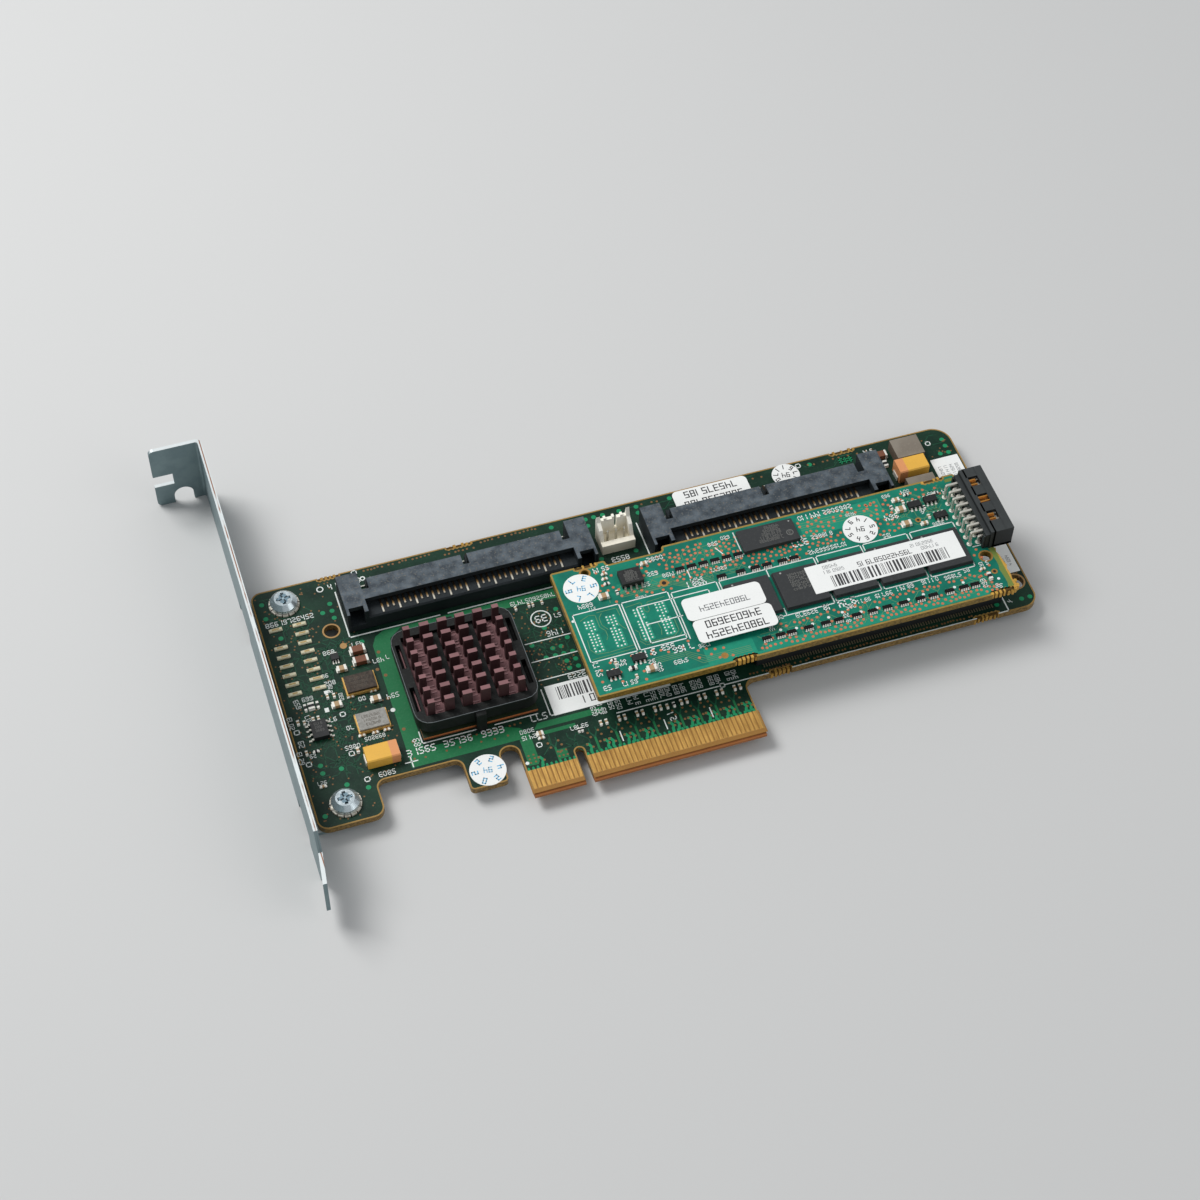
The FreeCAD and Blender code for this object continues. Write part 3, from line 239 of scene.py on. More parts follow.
def laminate(mask, deeper, edge):
    """Paint for a board: blotchy mask on its faces, layers on its routed edges, and a rubbed front tip."""
    dark = tuple(c * 0.40 for c in srgb(*edge)[:3]) + (1.0,)
    layer_pitch = 0.52

    def paint(brush):
        face = brush.mix(brush.ramp(brush.noise(6.0, 5.0), 0.38, 0.62), mask, deeper)
        fibres = brush.mix(brush.ramp(brush.noise(0.5), 0.40, 0.66), edge, dark)
        layers = brush.maths("SINE", brush.times(brush.z, 2 * math.pi / layer_pitch))
        rim = brush.mix(brush.ramp(layers, 0.2, 1.1), fibres, dark)
        flat = brush.ramp(brush.maths("ABSOLUTE", brush.facing()), 0.55, 0.95)
        return brush.mix(brush.ramp(brush.y, 1.50, 1.40), brush.mix(flat, rim, face), (158, 98, 52))
    return paint


def dress(skin, *nodes):
    """Give CAD nodes their finish."""
    for name in nodes:
        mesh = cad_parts[name].data
        mesh.materials.clear()
        mesh.materials.append(skin)


class Stock:
    """The corners, in mm, and the faces of one piece. Its flat marks lie between two levels, low and high."""
    def __init__(self, low=0.0, high=0.0):
        self.corners, self.faces, self.low, self.high = [], [], low, high

    def prism(self, ring, low=None, high=None):
        """A closed upright prism over a ring of (x, y) corners, given anticlockwise."""
        count, first = len(ring), len(self.corners)
        for z in (self.low if low is None else low, self.high if high is None else high):
            self.corners += [(x, y, z) for x, y in ring]
        self.faces += [[first + i for i in reversed(range(count))], [first + count + i for i in range(count)]]
        for i in range(count):
            j = (i + 1) % count
            self.faces.append([first + i, first + j, first + count + j, first + count + i])

    def box(self, across, along, rise=(None, None)):
        """A box between two values on each axis, given in either order."""
        (x0, x1), (y0, y1) = sorted(across), sorted(along)
        low, high = rise if rise[0] is None else sorted(rise)
        self.prism([(x0, y0), (x1, y0), (x1, y1), (x0, y1)], low, high)

    def disc(self, x, y, radius, sides=8, low=None, high=None):
        turns = [2 * math.pi * (i + 0.5) / sides for i in range(sides)]
        self.prism([(x + radius * math.cos(t), y + radius * math.sin(t)) for t in turns], low, high)

    def stroke(self, points, width, low=None, high=None):
        """A line of ink or copper through the points, with square ends."""
        for (xa, ya), (xb, yb) in zip(points, points[1:]):
            run = math.hypot(xb - xa, yb - ya) * 2 / width
            ux, uy = (xb - xa) / run, (yb - ya) / run
            self.prism([(xa - ux + uy, ya - uy - ux), (xb + ux + uy, yb + uy - ux),
                        (xb + ux - uy, yb + uy + ux), (xa - ux - uy, ya - uy + ux)], low, high)

    def ring(self, x, y, inner, outer, sides=28):
        """A closed flat ring, such as a plated rim or a printed circle."""
        first = len(self.corners)
        for i in range(sides):
            c, s = math.cos(2 * math.pi * i / sides), math.sin(2 * math.pi * i / sides)
            self.corners += [(x + r * c, y + r * s, z) for r, z in (
                (inner, self.low), (outer, self.low), (outer, self.high), (inner, self.high))]
        for i in range(sides):
            a, b = first + 4 * i, first + 4 * ((i + 1) % sides)
            self.faces += [(a + k, a + (k + 1) % 4, b + (k + 1) % 4, b + k) for k in range(4)]

    def outline(self, x0, y0, x1, y1, width):
        """A drawn rectangle."""
        self.stroke([(x0, y0), (x1, y0), (x1, y1), (x0, y1), (x0, y0)], width)

    def numerals(self, x, y, count, height, turn=0, seed=1, weight=0.16, low=None):
        """A row of plain numerals in seven strokes each, centred on (x, y)."""
        ends = {"a": (0, 1, 1, 1), "b": (1, 1, 1, .5), "c": (1, .5, 1, 0), "d": (0, 0, 1, 0),
                "e": (0, 0, 0, .5), "f": (0, .5, 0, 1), "g": (0, .5, 1, .5)}
        shapes = ("abcdef", "bc", "abged", "abgcd", "fgbc", "afgcd", "afgedc", "abc", "abcdefg", "abfgcd")
        dice = random.Random(seed)
        wide = height * 0.52
        c, s = math.cos(math.radians(turn)), math.sin(math.radians(turn))
        for i in range(count):
            left = (i - (count - 1) / 2) * height * 0.86 - wide / 2
            for part in dice.choice(shapes):
                xa, ya, xb, yb = ends[part]
                line = [(left + u * wide, (v - 0.5) * height) for u, v in ((xa, ya), (xb, yb))]
                self.stroke([(x + u * c - v * s, y + u * s + v * c) for u, v in line], height * weight, low)


def piece(name, stock, skin, slot, *nodes):
    """Build a mesh from a stock, and hang it on the card."""
    mesh = bpy.data.meshes.new(name)
    mesh.from_pydata([(x / 1000, y / 1000, z / 1000) for x, y, z in stock.corners], [], stock.faces)
    mesh.materials.append(skin)
    thing = placed(name, mesh)
    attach(thing, "root")
    if nodes:
        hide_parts(*nodes)


def box_mm(name):
    """The low and high corners of a CAD node, in mm."""
    return [corner * 1000 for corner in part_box(name)]


def bodies(name):
    """The separate solids of a CAD node as (x0, y0, z0, x1, y1, z1) in mm, from left to right."""
    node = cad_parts[name]
    keys = [tuple(round(c * 1e6) for c in node.matrix_world @ v.co) for v in node.data.vertices]
    parent = {key: key for key in keys}

    def root(key):
        while parent[key] != key:
            parent[key] = parent[parent[key]]
            key = parent[key]
        return key
    for edge in node.data.edges:
        parent[root(keys[edge.vertices[0]])] = root(keys[edge.vertices[1]])
    groups = {}
    for key in parent:
        groups.setdefault(root(key), []).append(key)
    return sorted([pick(k[i] for k in group) / 1000 for pick in (min, max) for i in range(3)]
                  for group in groups.values())


def border(stock, name, level, width):
    """A ribbon just inside a board's routed outline, where the mask stops short of the edge."""
    shortest_outline = 60
    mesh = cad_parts[name].data
    sides = set()
    for face in mesh.polygons:
        if face.normal.z > 0.99 and abs(mesh.vertices[face.vertices[0]].co.z - level / 1000) < 1e-5:
            ring = [tuple(round(c * 1e6) for c in mesh.vertices[i].co[:2]) for i in face.vertices]
            sides.update(zip(ring, ring[1:] + ring[:1]))
    links = {a: b for a, b in sides if (b, a) not in sides}
    while links:
        loop = [next(iter(links))]
        while loop[-1] in links:
            loop.append(links.pop(loop[-1]))
        loop = [(x / 1000, y / 1000) for x, y in loop[:-1]]
        if sum(math.dist(a, b) for a, b in zip(loop, loop[1:])) < shortest_outline:
            continue
        inner = []
        count = len(loop)
        for i in range(count):
            (xa, ya), (xb, yb), (xc, yc) = loop[i - 1], loop[i], loop[(i + 1) % count]
            la, lc = math.dist((xa, ya), (xb, yb)), math.dist((xb, yb), (xc, yc))
            nx = -(yb - ya) / la - (yc - yb) / lc
            ny = (xb - xa) / la + (xc - xb) / lc
            size = max(nx * nx + ny * ny, 0.8) / 2
            inner.append((xb + nx * width / size, yb + ny * width / size))
        for i in range(count):
            j = (i + 1) % count
            stock.prism([loop[i], loop[j], inner[j], inner[i]])


def snapped(stock, hollow_shade, x, edge, inward, count):
    """Laminate left rough where a tab was snapped off along a row of small holes, with a dark strip behind
    the lumps as painted shade in the broken holes.
    """
    turn = random.Random(int(x * 10))
    hole_pitch = 0.95
    reach = hole_pitch * count / 2
    # The dark strip shows between the lumps: painted shade in the broken holes.
    hollow_shade.box((x - reach, x + reach), (edge + inward * 0.80, edge + inward * 0.22))
    for i in range(count + 1):
        middle, half, out = x - reach + hole_pitch * i, turn.uniform(0.20, 0.34), turn.uniform(-0.12, 0.16)
        depth = turn.uniform(0.66, 0.86)
        stock.box((middle - half, middle + half), (edge + inward * depth, edge - inward * out),
                  (stock.low, stock.high - turn.choice((0.0, 0.0, 0.3))))


def wander(stock, x0, y0, x1, y1, count, seed, width):
    """Short tracks in straight and slanted legs, as an autorouter lays them, kept inside a rectangle."""
    turn = random.Random(seed)
    usual_leg = 2.2
    for i in range(count):
        path = [(turn.uniform(x0, x1), turn.uniform(y0, y1))]
        legs = turn.randint(2, 4)
        walk = random.Random(seed * 99 + i)
        heading = walk.randrange(8)
        for leg in range(legs):
            x, y = path[-1]
            reach = walk.uniform(0.5, 1.6) * usual_leg
            bearing = heading * math.pi / 4
            path.append((x + reach * math.cos(bearing), y + reach * math.sin(bearing)))
            heading += walk.choice((-1, 1))
        if all(x0 < x < x1 and y0 < y < y1 for x, y in path):
            stock.stroke(path, width)


dress(finish("green_solder_mask", (19, 50, 36), 0.42, 0.0, 0.22, 0.6, 0.10, 0.10, bump=0.1,
             paint=laminate((14, 42, 31), (24, 57, 41), (152, 122, 70))), "main_board")
pour_green = finish("pour_under_mask", (30, 112, 68), 0.42, 0.0, 0.25, 0.5, 0.12, 0.12)
dot_green = finish("pad_under_mask", (28, 140, 92), 0.42, 0.0, 0.25, 0.5, 0.10, 0.05)
bare_edge = finish("bare_laminate", (160, 126, 68), 0.6, 0.0, 0.3, 0.4, 0.30, 0.05)
track_green = finish("track_under_mask", (26, 80, 56), 0.42, 0.0, 0.25, 0.5, 0.15, 0.05)
via_copper = finish("via_copper", (128, 92, 54), 0.5, 0.15, 0.4, 0.2, 0.25, 0.05)
white_ink = finish("white_ink", (232, 236, 232), 0.7, 0.0, 0.3, 0.2, 0.10, 0.15)
rim_copper = finish("plated_rim", (172, 134, 84), 0.45, 0.3, 0.4, 0.3, 0.20, 0.05)
white_copper = finish("tinned_pad", (196, 196, 184), 0.4, 0.5, 0.5, 0.2, 0.15, 0.05)

board_low, board_high = box_mm("main_board")
dice = random.Random(7)
# Each kind of mark has its own height over the board, so that marks which cross aren't in one plane.
pours = Stock(-0.01, 0.012)
tracks = Stock(-0.01, 0.009)
dots = Stock(-0.01, 0.014)
vias = Stock(-0.01, 0.020)
ink = Stock(0.0, 0.026)
bare = Stock(-0.02, 0.010)
rims = Stock(-0.02, 0.024)
pad_radius, via_radius, loose_via_radius, track_width = 0.56, 0.27, 0.20, 0.16
border(bare, "main_board", 0.0, 0.32)
for ring in ([(-34.6, 14.3), (-11.2, 14.3), (-8.7, 14.3), (-8.9, 15.6), (-10.4, 17.2), (-13.0, 18.3),
              (-30.9, 18.3), (-30.9, 45.0), (-30.2, 48.2), (-27.0, 50.7), (-31.0, 50.8), (-33.2, 49.6),
              (-34.3, 47.4)],
             [(-27.0, 50.7), (-26.0, 48.4), (-1.2, 48.4), (7.5, 48.0), (7.5, 50.6)],
             [(-11.2, 7.4), (-9.2, 7.2), (-8.7, 7.9), (-8.7, 14.2), (-11.2, 14.2)],
             [(-4.8, 7.1), (-2.4, 7.1), (-2.4, 9.4), (-4.8, 9.4)],
             [(-7.6, 15.7), (8.0, 15.7), (8.0, 17.2), (-6.4, 17.2)],
             [(-5.9, 14.0), (1.2, 14.0), (1.2, 14.9), (-5.9, 14.9)]):
    pours.prism(ring)
for x, y in ((-54.7, 65.4), (-54.7, 61.4), (-52.8, 55.3), (-40.4, 61.3), (-42.5, 59.3), (-40.4, 59.3),
             (-40.4, 57.3), (-52.7, 20.6), (-52.7, 18.6), (-48.7, 18.6), (-48.6, 14.4), (-44.5, 12.4),
             (-54.8, 8.2), (-36.3, 49.2), (12.3, 67.2), (20.3, 67.1), (22.3, 67.2), (24.4, 67.2),
             (28.3, 67.2), (20.3, 65.2), (32.4, 67.2), (32.3, 65.4), (40.4, 67.3), (74.4, 67.1),
             (106.4, 65.0), (106.4, 63.0), (106.4, 61.0), (104.4, 61.1), (20.3, 55.2), (28.4, 55.2),
             (99.2, 16.8), (105.1, 16.7), (107.1, 16.7), (2.5, 40.8), (6.4, 45.0), (-1.5, 37.0), (6.5, 36.9),
             (2.6, 35.0), (4.5, 35.0), (0.5, 33.0), (2.6, 33.0), (4.5, 33.0), (6.5, 33.0), (4.5, 30.9),
             (6.5, 30.9), (4.5, 28.9), (6.5, 28.9), (34.0, 58.0), (16.6, 57.0)):
    dots.disc(x, y, pad_radius, 14)

# Vias: rows behind the receptacles, a fan over the edge contacts, and loose ones on the open board.
for x, x1, y, gap in ((-31.0, -15.5, 68.0, 0.95), (-4.0, 10.2, 68.0, 0.95), (-12.6, -5.4, 67.0, 0.95),
                      (33.8, 38.5, 67.4, 1.5), (60.5, 64.0, 67.0, 1.3), (74.0, 90.0, 67.0, 1.4),
                      (41.0, 93.0, 15.5, 0.8), (-33.5, -13.0, 16.2, 2.9), (-22.0, -8.0, 18.2, 1.3)):
    while x < x1:
        vias.disc(x, y + dice.uniform(-0.15, 0.15), via_radius)
        x += gap * dice.choice((0.8, 1.0, 1.0, 1.6))
for x0, y0, z0, x1, top, z1 in bodies("edge_contacts_top"):
    x = (x0 + x1) / 2
    dots.prism([(x - 0.34, top - 0.02), (x + 0.34, top - 0.02),
                (x + 0.17, top + 0.75), (x - 0.17, top + 0.75)])
for x in (-8.6, 2.1, 5.9, 7.0, 10.4, 11.6, 14.5, 15.7, 20.3, 21.6, 24.6, 25.8, 28.6, 29.9, 32.6, 33.9, 36.7,
          37.8):
    dots.prism([(x, 6.5), (x + 0.60, 6.5), (x + 0.65, 7.2), (x + 0.98, 8.1), (x + 0.42, 9.1), (x - 0.25, 9.2),
                (x - 0.3, 8.5), (x + 0.05, 8.45), (x + 0.34, 8.0), (x + 0.02, 7.3)], high=0.016)
    vias.disc(x - 0.05, 8.85, 0.30)
    vias.disc(x + 1.05 - 0.3 * (x % 1), 7.9, 0.28)
for x in (-4.6, 4.2, 8.8, 13.1, 17.2, 23.1, 27.2, 31.1, 35.2):
    pours.prism([(x - 0.28, 6.5), (x + 0.28, 6.5), (x + 0.24, 10.2), (x - 0.24, 10.2)], high=0.013)
    tracks.prism([(x - 0.2, 10.2), (x + 0.2, 10.2), (x + 0.90, 11.6), (x + 0.82, 12.7), (x + 0.60, 12.7),
                  (x + 0.66, 11.7), (x, 10.6), (x - 0.66, 11.7), (x - 0.60, 12.7), (x - 0.82, 12.7),
                  (x - 0.90, 11.6)], high=0.013)
    for dx, y in ((-1.2, 11.6), (1.1, 11.7), (-0.9, 10.4), (1.5, 10.5), (0.7, 8.8)):
        vias.disc(x + dx, y, 0.29)
for xs, ys in (((-4.4, -3.5, -2.6), (7.8, 9.0)), ((-10.6, -9.5), (8.0, 8.9, 9.8))):
    for x in xs:
        for y in ys:
            vias.disc(x, y, 0.24, low=0.0, high=0.022)
for x, y in ((-33.7, 24.3), (-33.7, 39.0), (-33.6, 45.4), (-35.0, 41.0), (-34.8, 33.0), (-32.6, 20.6)):
    vias.disc(x, y, 0.42, high=0.022)
vias.high = 0.018
for i in range(230):
    x, y = dice.uniform(-56, -35.4), dice.uniform(6, 67.5)
    over_the_gap = y < 14.5 and x > -43.5
    over_the_hole = math.dist((x, y), (-41.9, 54)) < 2.4
    if not over_the_gap and not over_the_hole:
        vias.disc(x, y, loose_via_radius)
for i in range(110):
    vias.disc(dice.uniform(-4.5, 7), dice.uniform(26.5, 47), loose_via_radius)
    vias.disc(dice.uniform(101.5, 107.5), dice.uniform(20, 66), loose_via_radius)
rims.disc(-40.4, 49.3, 0.78, 20, low=-0.01)
for x, y, inner, outer in ((-41.90, 54.00, 1.62, 1.98), (105.70, 21.50, 1.87, 2.25)):
    rims.ring(x, y, inner, outer)
for x0, y0, x1, y1, count, seed in ((-56, 15.5, -35.5, 52, 210, 3), (-55, 52, -44.5, 67, 60, 4),
                                    (-4.5, 26.5, 7, 47.5, 60, 5), (101.3, 19, 107.5, 67, 50, 6),
                                    (-8, 7, 5, 14, 24, 8), (30, 64.5, 91, 68.3, 50, 9)):
    wander(tracks, x0, y0, x1, y1, count, seed, track_width)

# Print: outlines round the receptacles and the processor, part numbers, and small squares.
frame_length, gap_start, gap_end, frame_depth = 57.4, 20.2, 22.2, 12.95
for x0, y0 in ((-38.5, 51.05), (30.95, 49.65)):
    ink.stroke([(x0, y0 + frame_depth), (x0, y0), (x0 + gap_start, y0)], 0.30)
    ink.stroke([(x0 + gap_end, y0), (x0 + frame_length, y0)], 0.30)
for path in ([(-2.4, 18.2), (-3.1, 18.2), (-3.1, 25.2)], [(-30.9, 22.6), (-30.9, 19.55), (-17.2, 19.55)],
             [(-15.0, 19.55), (-5.6, 19.55)], [(10.5, 14.6), (33.5, 14.6)], [(35.0, 14.6), (44.8, 14.6)],
             [(50.4, 14.6), (93.4, 14.6)], [(-35.6, 15.8), (-33.0, 15.8)], [(-34.25, 14.5), (-34.25, 17.2)]):
    ink.stroke(path, 0.26)
for y in (37.7, 32.65, 27.55):
    ink.stroke([(-2.8, y), (7.4, y)], 0.24)
for x in (9.6, 19.45, 29.7):
    ink.stroke([(x, 7.5), (x, 9.9)], 0.24)
ink.stroke([(98.8, 14.5), (101.1, 14.5), (101.1, 18.5)], 0.30)
for x, y, inner, outer, sides in ((-31.8, 65.95, 0.34, 0.62, 16), (2.5, 43.4, 2.05, 2.32, 28),
                                  (-41.5, 65.8, 0.55, 0.80, 18)):
    ink.ring(x, y, inner, outer, sides)
ink.disc(-34.6, 29.75, 0.52, 16)
ink.disc(-11.35, 8.1, 0.42, 12)
ink.box((-47.4, -46.1), (38.1, 38.9))
ink.box((-48.4, -47.5), (33.4, 34.5))
ink.outline(33.825, 14.125, 34.775, 15.075, 0.2)
half = 0.525
for x, y in ((-55.4, 30.2), (-45.0, 31.9), (-54.9, 21.6), (-45.7, 21.6), (-44.2, 14.4), (-33.2, 68.1),
             (71.7, 67.5), (102.8, 64.8), (-7.6, 11.8)):
    ink.outline(x - half, y - half, x + half, y + half, 0.22)
for turn, marks in (
        (0, ((-49.9, 59.4, 11, 1.15), (-31.6, 18.0, 5, 1.5), (-23.6, 18.0, 5, 1.5), (-16.0, 18.0, 4, 1.5),
             (-38.7, 65.8, 2, 1.3), (-33.4, 65.8, 2, 1.3))),
        (180, ((-43.9, 48.5, 3, 1.05), (-37.4, 48.9, 3, 1.0), (-34.2, 43.3, 3, 1.0), (-32.1, 43.6, 1, 1.0),
               (-46.2, 42.7, 2, 0.9), (-45.6, 40.6, 3, 1.0), (-51.2, 38.0, 3, 1.0), (-47.3, 31.2, 2, 1.0),
               (-40.1, 34.6, 2, 1.0), (-33.6, 33.4, 3, 1.1), (-44.4, 28.1, 2, 1.0), (-53.6, 23.4, 2, 0.9),
               (-45.1, 23.2, 4, 1.0), (-40.0, 24.2, 6, 0.9), (-39.9, 14.7, 4, 1.1), (-53.4, 16.3, 3, 0.8),
               (-5.6, 18.6, 3, 1.5), (-9.1, 15.9, 4, 0.95), (-9.1, 14.3, 4, 0.95), (1.8, 13.7, 5, 0.95),
               (4.6, 39.0, 4, 1.3), (5.4, 26.6, 4, 1.2), (6.3, 43.3, 2, 1.0), (24.4, 54.1, 4, 1.25),
               (88.7, 66.8, 3, 0.9))),
        (80, ((-45.9, 39.0, 3, 0.8),)),
        (90, ((-44.2, 36.4, 3, 0.8), (-56.1, 32.8, 4, 1.0), (-55.2, 27.0, 2, 1.1), (-56.2, 23.6, 4, 1.0),
              (-32.0, 20.2, 2, 1.3), (6.5, 16.0, 2, 1.0), (8.0, 16.0, 2, 1.0), (91.8, 63.8, 2, 1.1))),
        (100, ((-53.6, 37.2, 3, 1.0), (-52.2, 32.6, 3, 1.0), (21.4, 10.2, 2, 1.3))),
        (30, ((102.3, 16.7, 1, 0.9),))):
    for x, y, count, height in marks:
        ink.numerals(x, y, count, height, turn, int(x * 7 + y * 3))
for x in (6.0, 7.6, 9.9, 11.5, 14.0, 15.6, 18.0, 19.4, 21.2, 22.6, 24.4, 25.9, 28.3, 29.7, 32.3, 33.8, 36.3,
          37.7):
    ink.numerals(x, 16.55, 3, 1.0, 90, int(x * 5), 0.15)
ink.numerals(2.5, 43.4, 2, 1.7, 180, 3)
ink.numerals(2.3, 49.1, 12, 1.0, 180, 12, 0.15, low=pours.high + 0.001)
dots.numerals(82.8, 65.9, 3, 1.3, 0, 44, 0.24)

# The solder side has the same kinds of copper and print, seen only when the card is turned over.
under = board_low.z
under_tracks = Stock(under - 0.01, under + 0.01)
under_vias = Stock(under - 0.022, under + 0.01)
under_ink = Stock(under - 0.03, under + 0.01)
under_pads = Stock(under - 0.13, under + 0.01)
wander(under_tracks, -54, 16, 104, 66, 420, 21, 0.22)
for i in range(520):
    under_vias.disc(dice.uniform(-44, 104), dice.uniform(16, 66), via_radius)
contact_pitch = 1.27
for x, y in ((-30.5, 65.25), (38.95, 63.85)):
    for i in range(34):
        under_vias.disc(x + i * contact_pitch, y, 0.24)
for x0, y0, x1, y1 in ((-27.0, 26.0, -9.0, 39.0), (48.0, 28.0, 66.0, 40.0), (72.0, 22.0, 92.0, 34.0)):
    under_ink.outline(x0, y0, x1, y1, 0.24)
for x0, y0, z0, x1, y1, z1 in bodies("power_header_pins"):
    under_pads.disc((x0 + x1) / 2, (y0 + y1) / 2, 0.85, 16)
piece("copper_pours", pours, pour_green, "green_board")
piece("board_tracks", tracks, track_green, "green_board")
piece("masked_pads", dots, dot_green, "green_board")
piece("board_vias", vias, via_copper, "gold")
piece("board_print", ink, white_ink, "paper")
piece("bare_board_edge", bare, bare_edge, "green_board")
piece("hole_rims", rims, rim_copper, "gold")
piece("solder_side_tracks", under_tracks, track_green, "green_board")
piece("solder_side_vias", under_vias, via_copper, "gold")
piece("solder_side_print", under_ink, white_ink, "paper")
piece("header_solder", under_pads, white_copper, "tin")

snaps = Stock(under + 0.02, 0.016)
hollow_shade = Stock(under + 0.05, 0.012)
front, back = 14.30, board_high.y
tongue_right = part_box("edge_contacts_top")[1].x * 1000 + 0.6
for x, edge, inward, count in ((board_low.x + 17.75, back, -1, 5), (board_low.x + 47.75, back, -1, 6),
                               (board_high.x - 25.8, back, -1, 6), (board_high.x - 12.7, front, 1, 6),
                               (tongue_right + 8.5, front, 1, 5)):
    snapped(snaps, hollow_shade, x, edge, inward, count)
hollow_shade_skin = finish("snapped_hollow_shade_skin", (84, 62, 26), 0.8, 0.0, 0.2)
amber = finish("snapped_laminate", (166, 128, 58), 0.6, 0.0, 0.3, 0.22, 0.45, 0.05, bump=0.6)
piece("snapped_board_tabs", snaps, amber, "green_board")
piece("snapped_board_hollow_shade", hollow_shade, hollow_shade_skin, "green_board")


# ---- Edge contacts ----
# Hard gold over nickel on both faces, rubbed by the slot's springs, with bare glass laminate
# between and below them where the mask is left off.
def rubbed(brush):
    """Gold with streaks that run the way the card is pushed in."""
    drawn_out = brush.node("VectorMath", {0: brush.place, 1: (1.0, 0.12, 1.0)}, operation="MULTIPLY")[0]
    streaks = brush.ramp(brush.noise(0.5, place=drawn_out), 0.35, 0.7)
    gold = brush.mix(streaks, (222, 175, 94), (182, 136, 68))
    worn_tip = brush.mix(streaks, (204, 132, 72), (158, 96, 52))
    return brush.mix(brush.ramp(brush.y, 1.7, 1.3), gold, worn_tip)


dress(finish("rubbed_gold", (214, 166, 88), 0.42, 0.55, 0.5, 0.25, 0.15, 0.02, paint=rubbed),
      "edge_contacts_top", "edge_contacts_bottom")
strip = Stock(-0.01, 0.008)
fingers = bodies("edge_contacts_top")
half_notch, margin = 0.96, 0.6
finger_top = fingers[-1][4]
for x0, x1 in ((fingers[0][0] - margin, -half_notch), (half_notch, fingers[-1][3] + margin)):
    strip.box((x0, x1), (0.47, finger_top + 0.05))
piece("bare_laminate_under_contacts", strip,
      finish("bare_contact_laminate", (150, 108, 50), 0.55, 0.0, 0.3, 0.3, 0.2, 0.05), "green_board")


# ---- Bracket ----
# Cold-rolled steel strip, zinc plated, blanked and bent. The shear leaves its long edges bright,
# with brown oxide where the plating is thin.
def sheared_zinc(brush):
    """Blue-grey plate; on edges that look up, bright lines either side of a brown streak."""
    plate = brush.mix(brush.ramp(brush.noise(3.0, 2.0), 0.40, 0.65), (124, 144, 147), (114, 134, 138))
    strip_face = -59.05
    depth = brush.plus(brush.x, -strip_face)
    inside = brush.times(brush.ramp(depth, 0.34, 0.42), brush.ramp(depth, 0.66, 0.58))
    brown = brush.times(inside, brush.ramp(brush.noise(9.0), 0.40, 0.50))
    edge = brush.mix(brown, (208, 214, 214), (140, 92, 66))
    return brush.mix(brush.ramp(brush.facing(), 0.5, 0.85), plate, edge)


dress(finish("zinc_plate", (124, 142, 148), 0.45, 0.45, 0.5, 0.5, 0.05, 0.06, paint=sheared_zinc), "bracket")

# ---- Bracket screws and toothed washers ----
# Bright zinc-plated steel, driven in from the component side and through the lugs under the
# board; the washers' teeth bite a copper ring.
dress(finish("bright_screw", (208, 220, 224), 0.24, 0.75, 0.6, 0.6, 0.20, 0.10, bump=0.25), "bracket_screws")
dress(finish("washer_steel", (186, 178, 164), 0.38, 0.8, 0.5, 0.3, 0.3, 0.1), "toothed_washers")
lands = Stock(-0.02, 0.016)
recess_shade_star, hub, recess_shade_cross = Stock(), Stock(), Stock()
teeth, tooth_gap_shade = Stock(0.0, 0.46), Stock(0.0, 0.50)
tooth_count, lobe_reach, lobe_swing, slot_reach = 14, 1.16, 0.20, 0.95
for x0, y0, z0, x1, y1, top in bodies("bracket_screws"):
    x, y = (x0 + x1) / 2, (y0 + y1) / 2
    lands.ring(x, y, 1.8, 3.40)
    # The star and the cross are dark plates on each head: painted shade of the drive recess, deepest in the
    # cross.
    star = []
    for i in range(24):
        angle = math.radians(15 * i + 8)
        reach = lobe_reach + lobe_swing * math.cos(6 * angle)
        star.append((x + reach * math.cos(angle), y + reach * math.sin(angle)))
    recess_shade_star.prism(star, top - 0.25, top + 0.012)
    hub.disc(x, y, 0.34, 6, top - 0.06, top + 0.02)
    for turn in (20, 110):
        dx, dy = math.cos(math.radians(turn)) * slot_reach, math.sin(math.radians(turn)) * slot_reach
        recess_shade_cross.stroke([(x - dx, y - dy), (x + dx, y + dy)], 0.36, top - 0.06, top + 0.016)
    # The slivers between the teeth are dark brown: painted shade.
    for stock, start, inner, outer, half in ((teeth, 0, 2.7, 3.36, 0.60), (tooth_gap_shade, 0.5, 2.6, 3.38, 0.10)):
        for i in range(tooth_count):
            angle = math.radians(360 / tooth_count * (i + start) + 6)
            c, s = math.cos(angle), math.sin(angle)
            stock.prism([(x + c * r - s * w, y + s * r + c * w)
                         for r, w in ((inner, -half), (outer, -half), (outer, half), (inner, half))])
piece("washer_lands", lands, rim_copper, "gold")
piece("screw_recess_shade_star", recess_shade_star, finish("screw_recess_shade", (116, 140, 152), 0.35, 0.4, 0.5, 0.3, 0.3), "screw_steel")
piece("screw_hubs", hub, finish("screw_hub", (150, 170, 178), 0.4, 0.3, 0.5, 0.3, 0.3), "screw_steel")
piece("screw_recess_shade_cross", recess_shade_cross, finish("screw_recess_deep_shade", (48, 60, 68), 0.7, 0.0, 0.3), "screw_steel")
piece("washer_teeth", teeth, finish("bitten_teeth", (232, 226, 212), 0.3, 0.1, 0.6, 0.3, 0.2), "screw_steel")
piece("washer_tooth_gap_shade", tooth_gap_shade, finish("washer_gap_shade", (60, 44, 34), 0.7), "screw_steel")


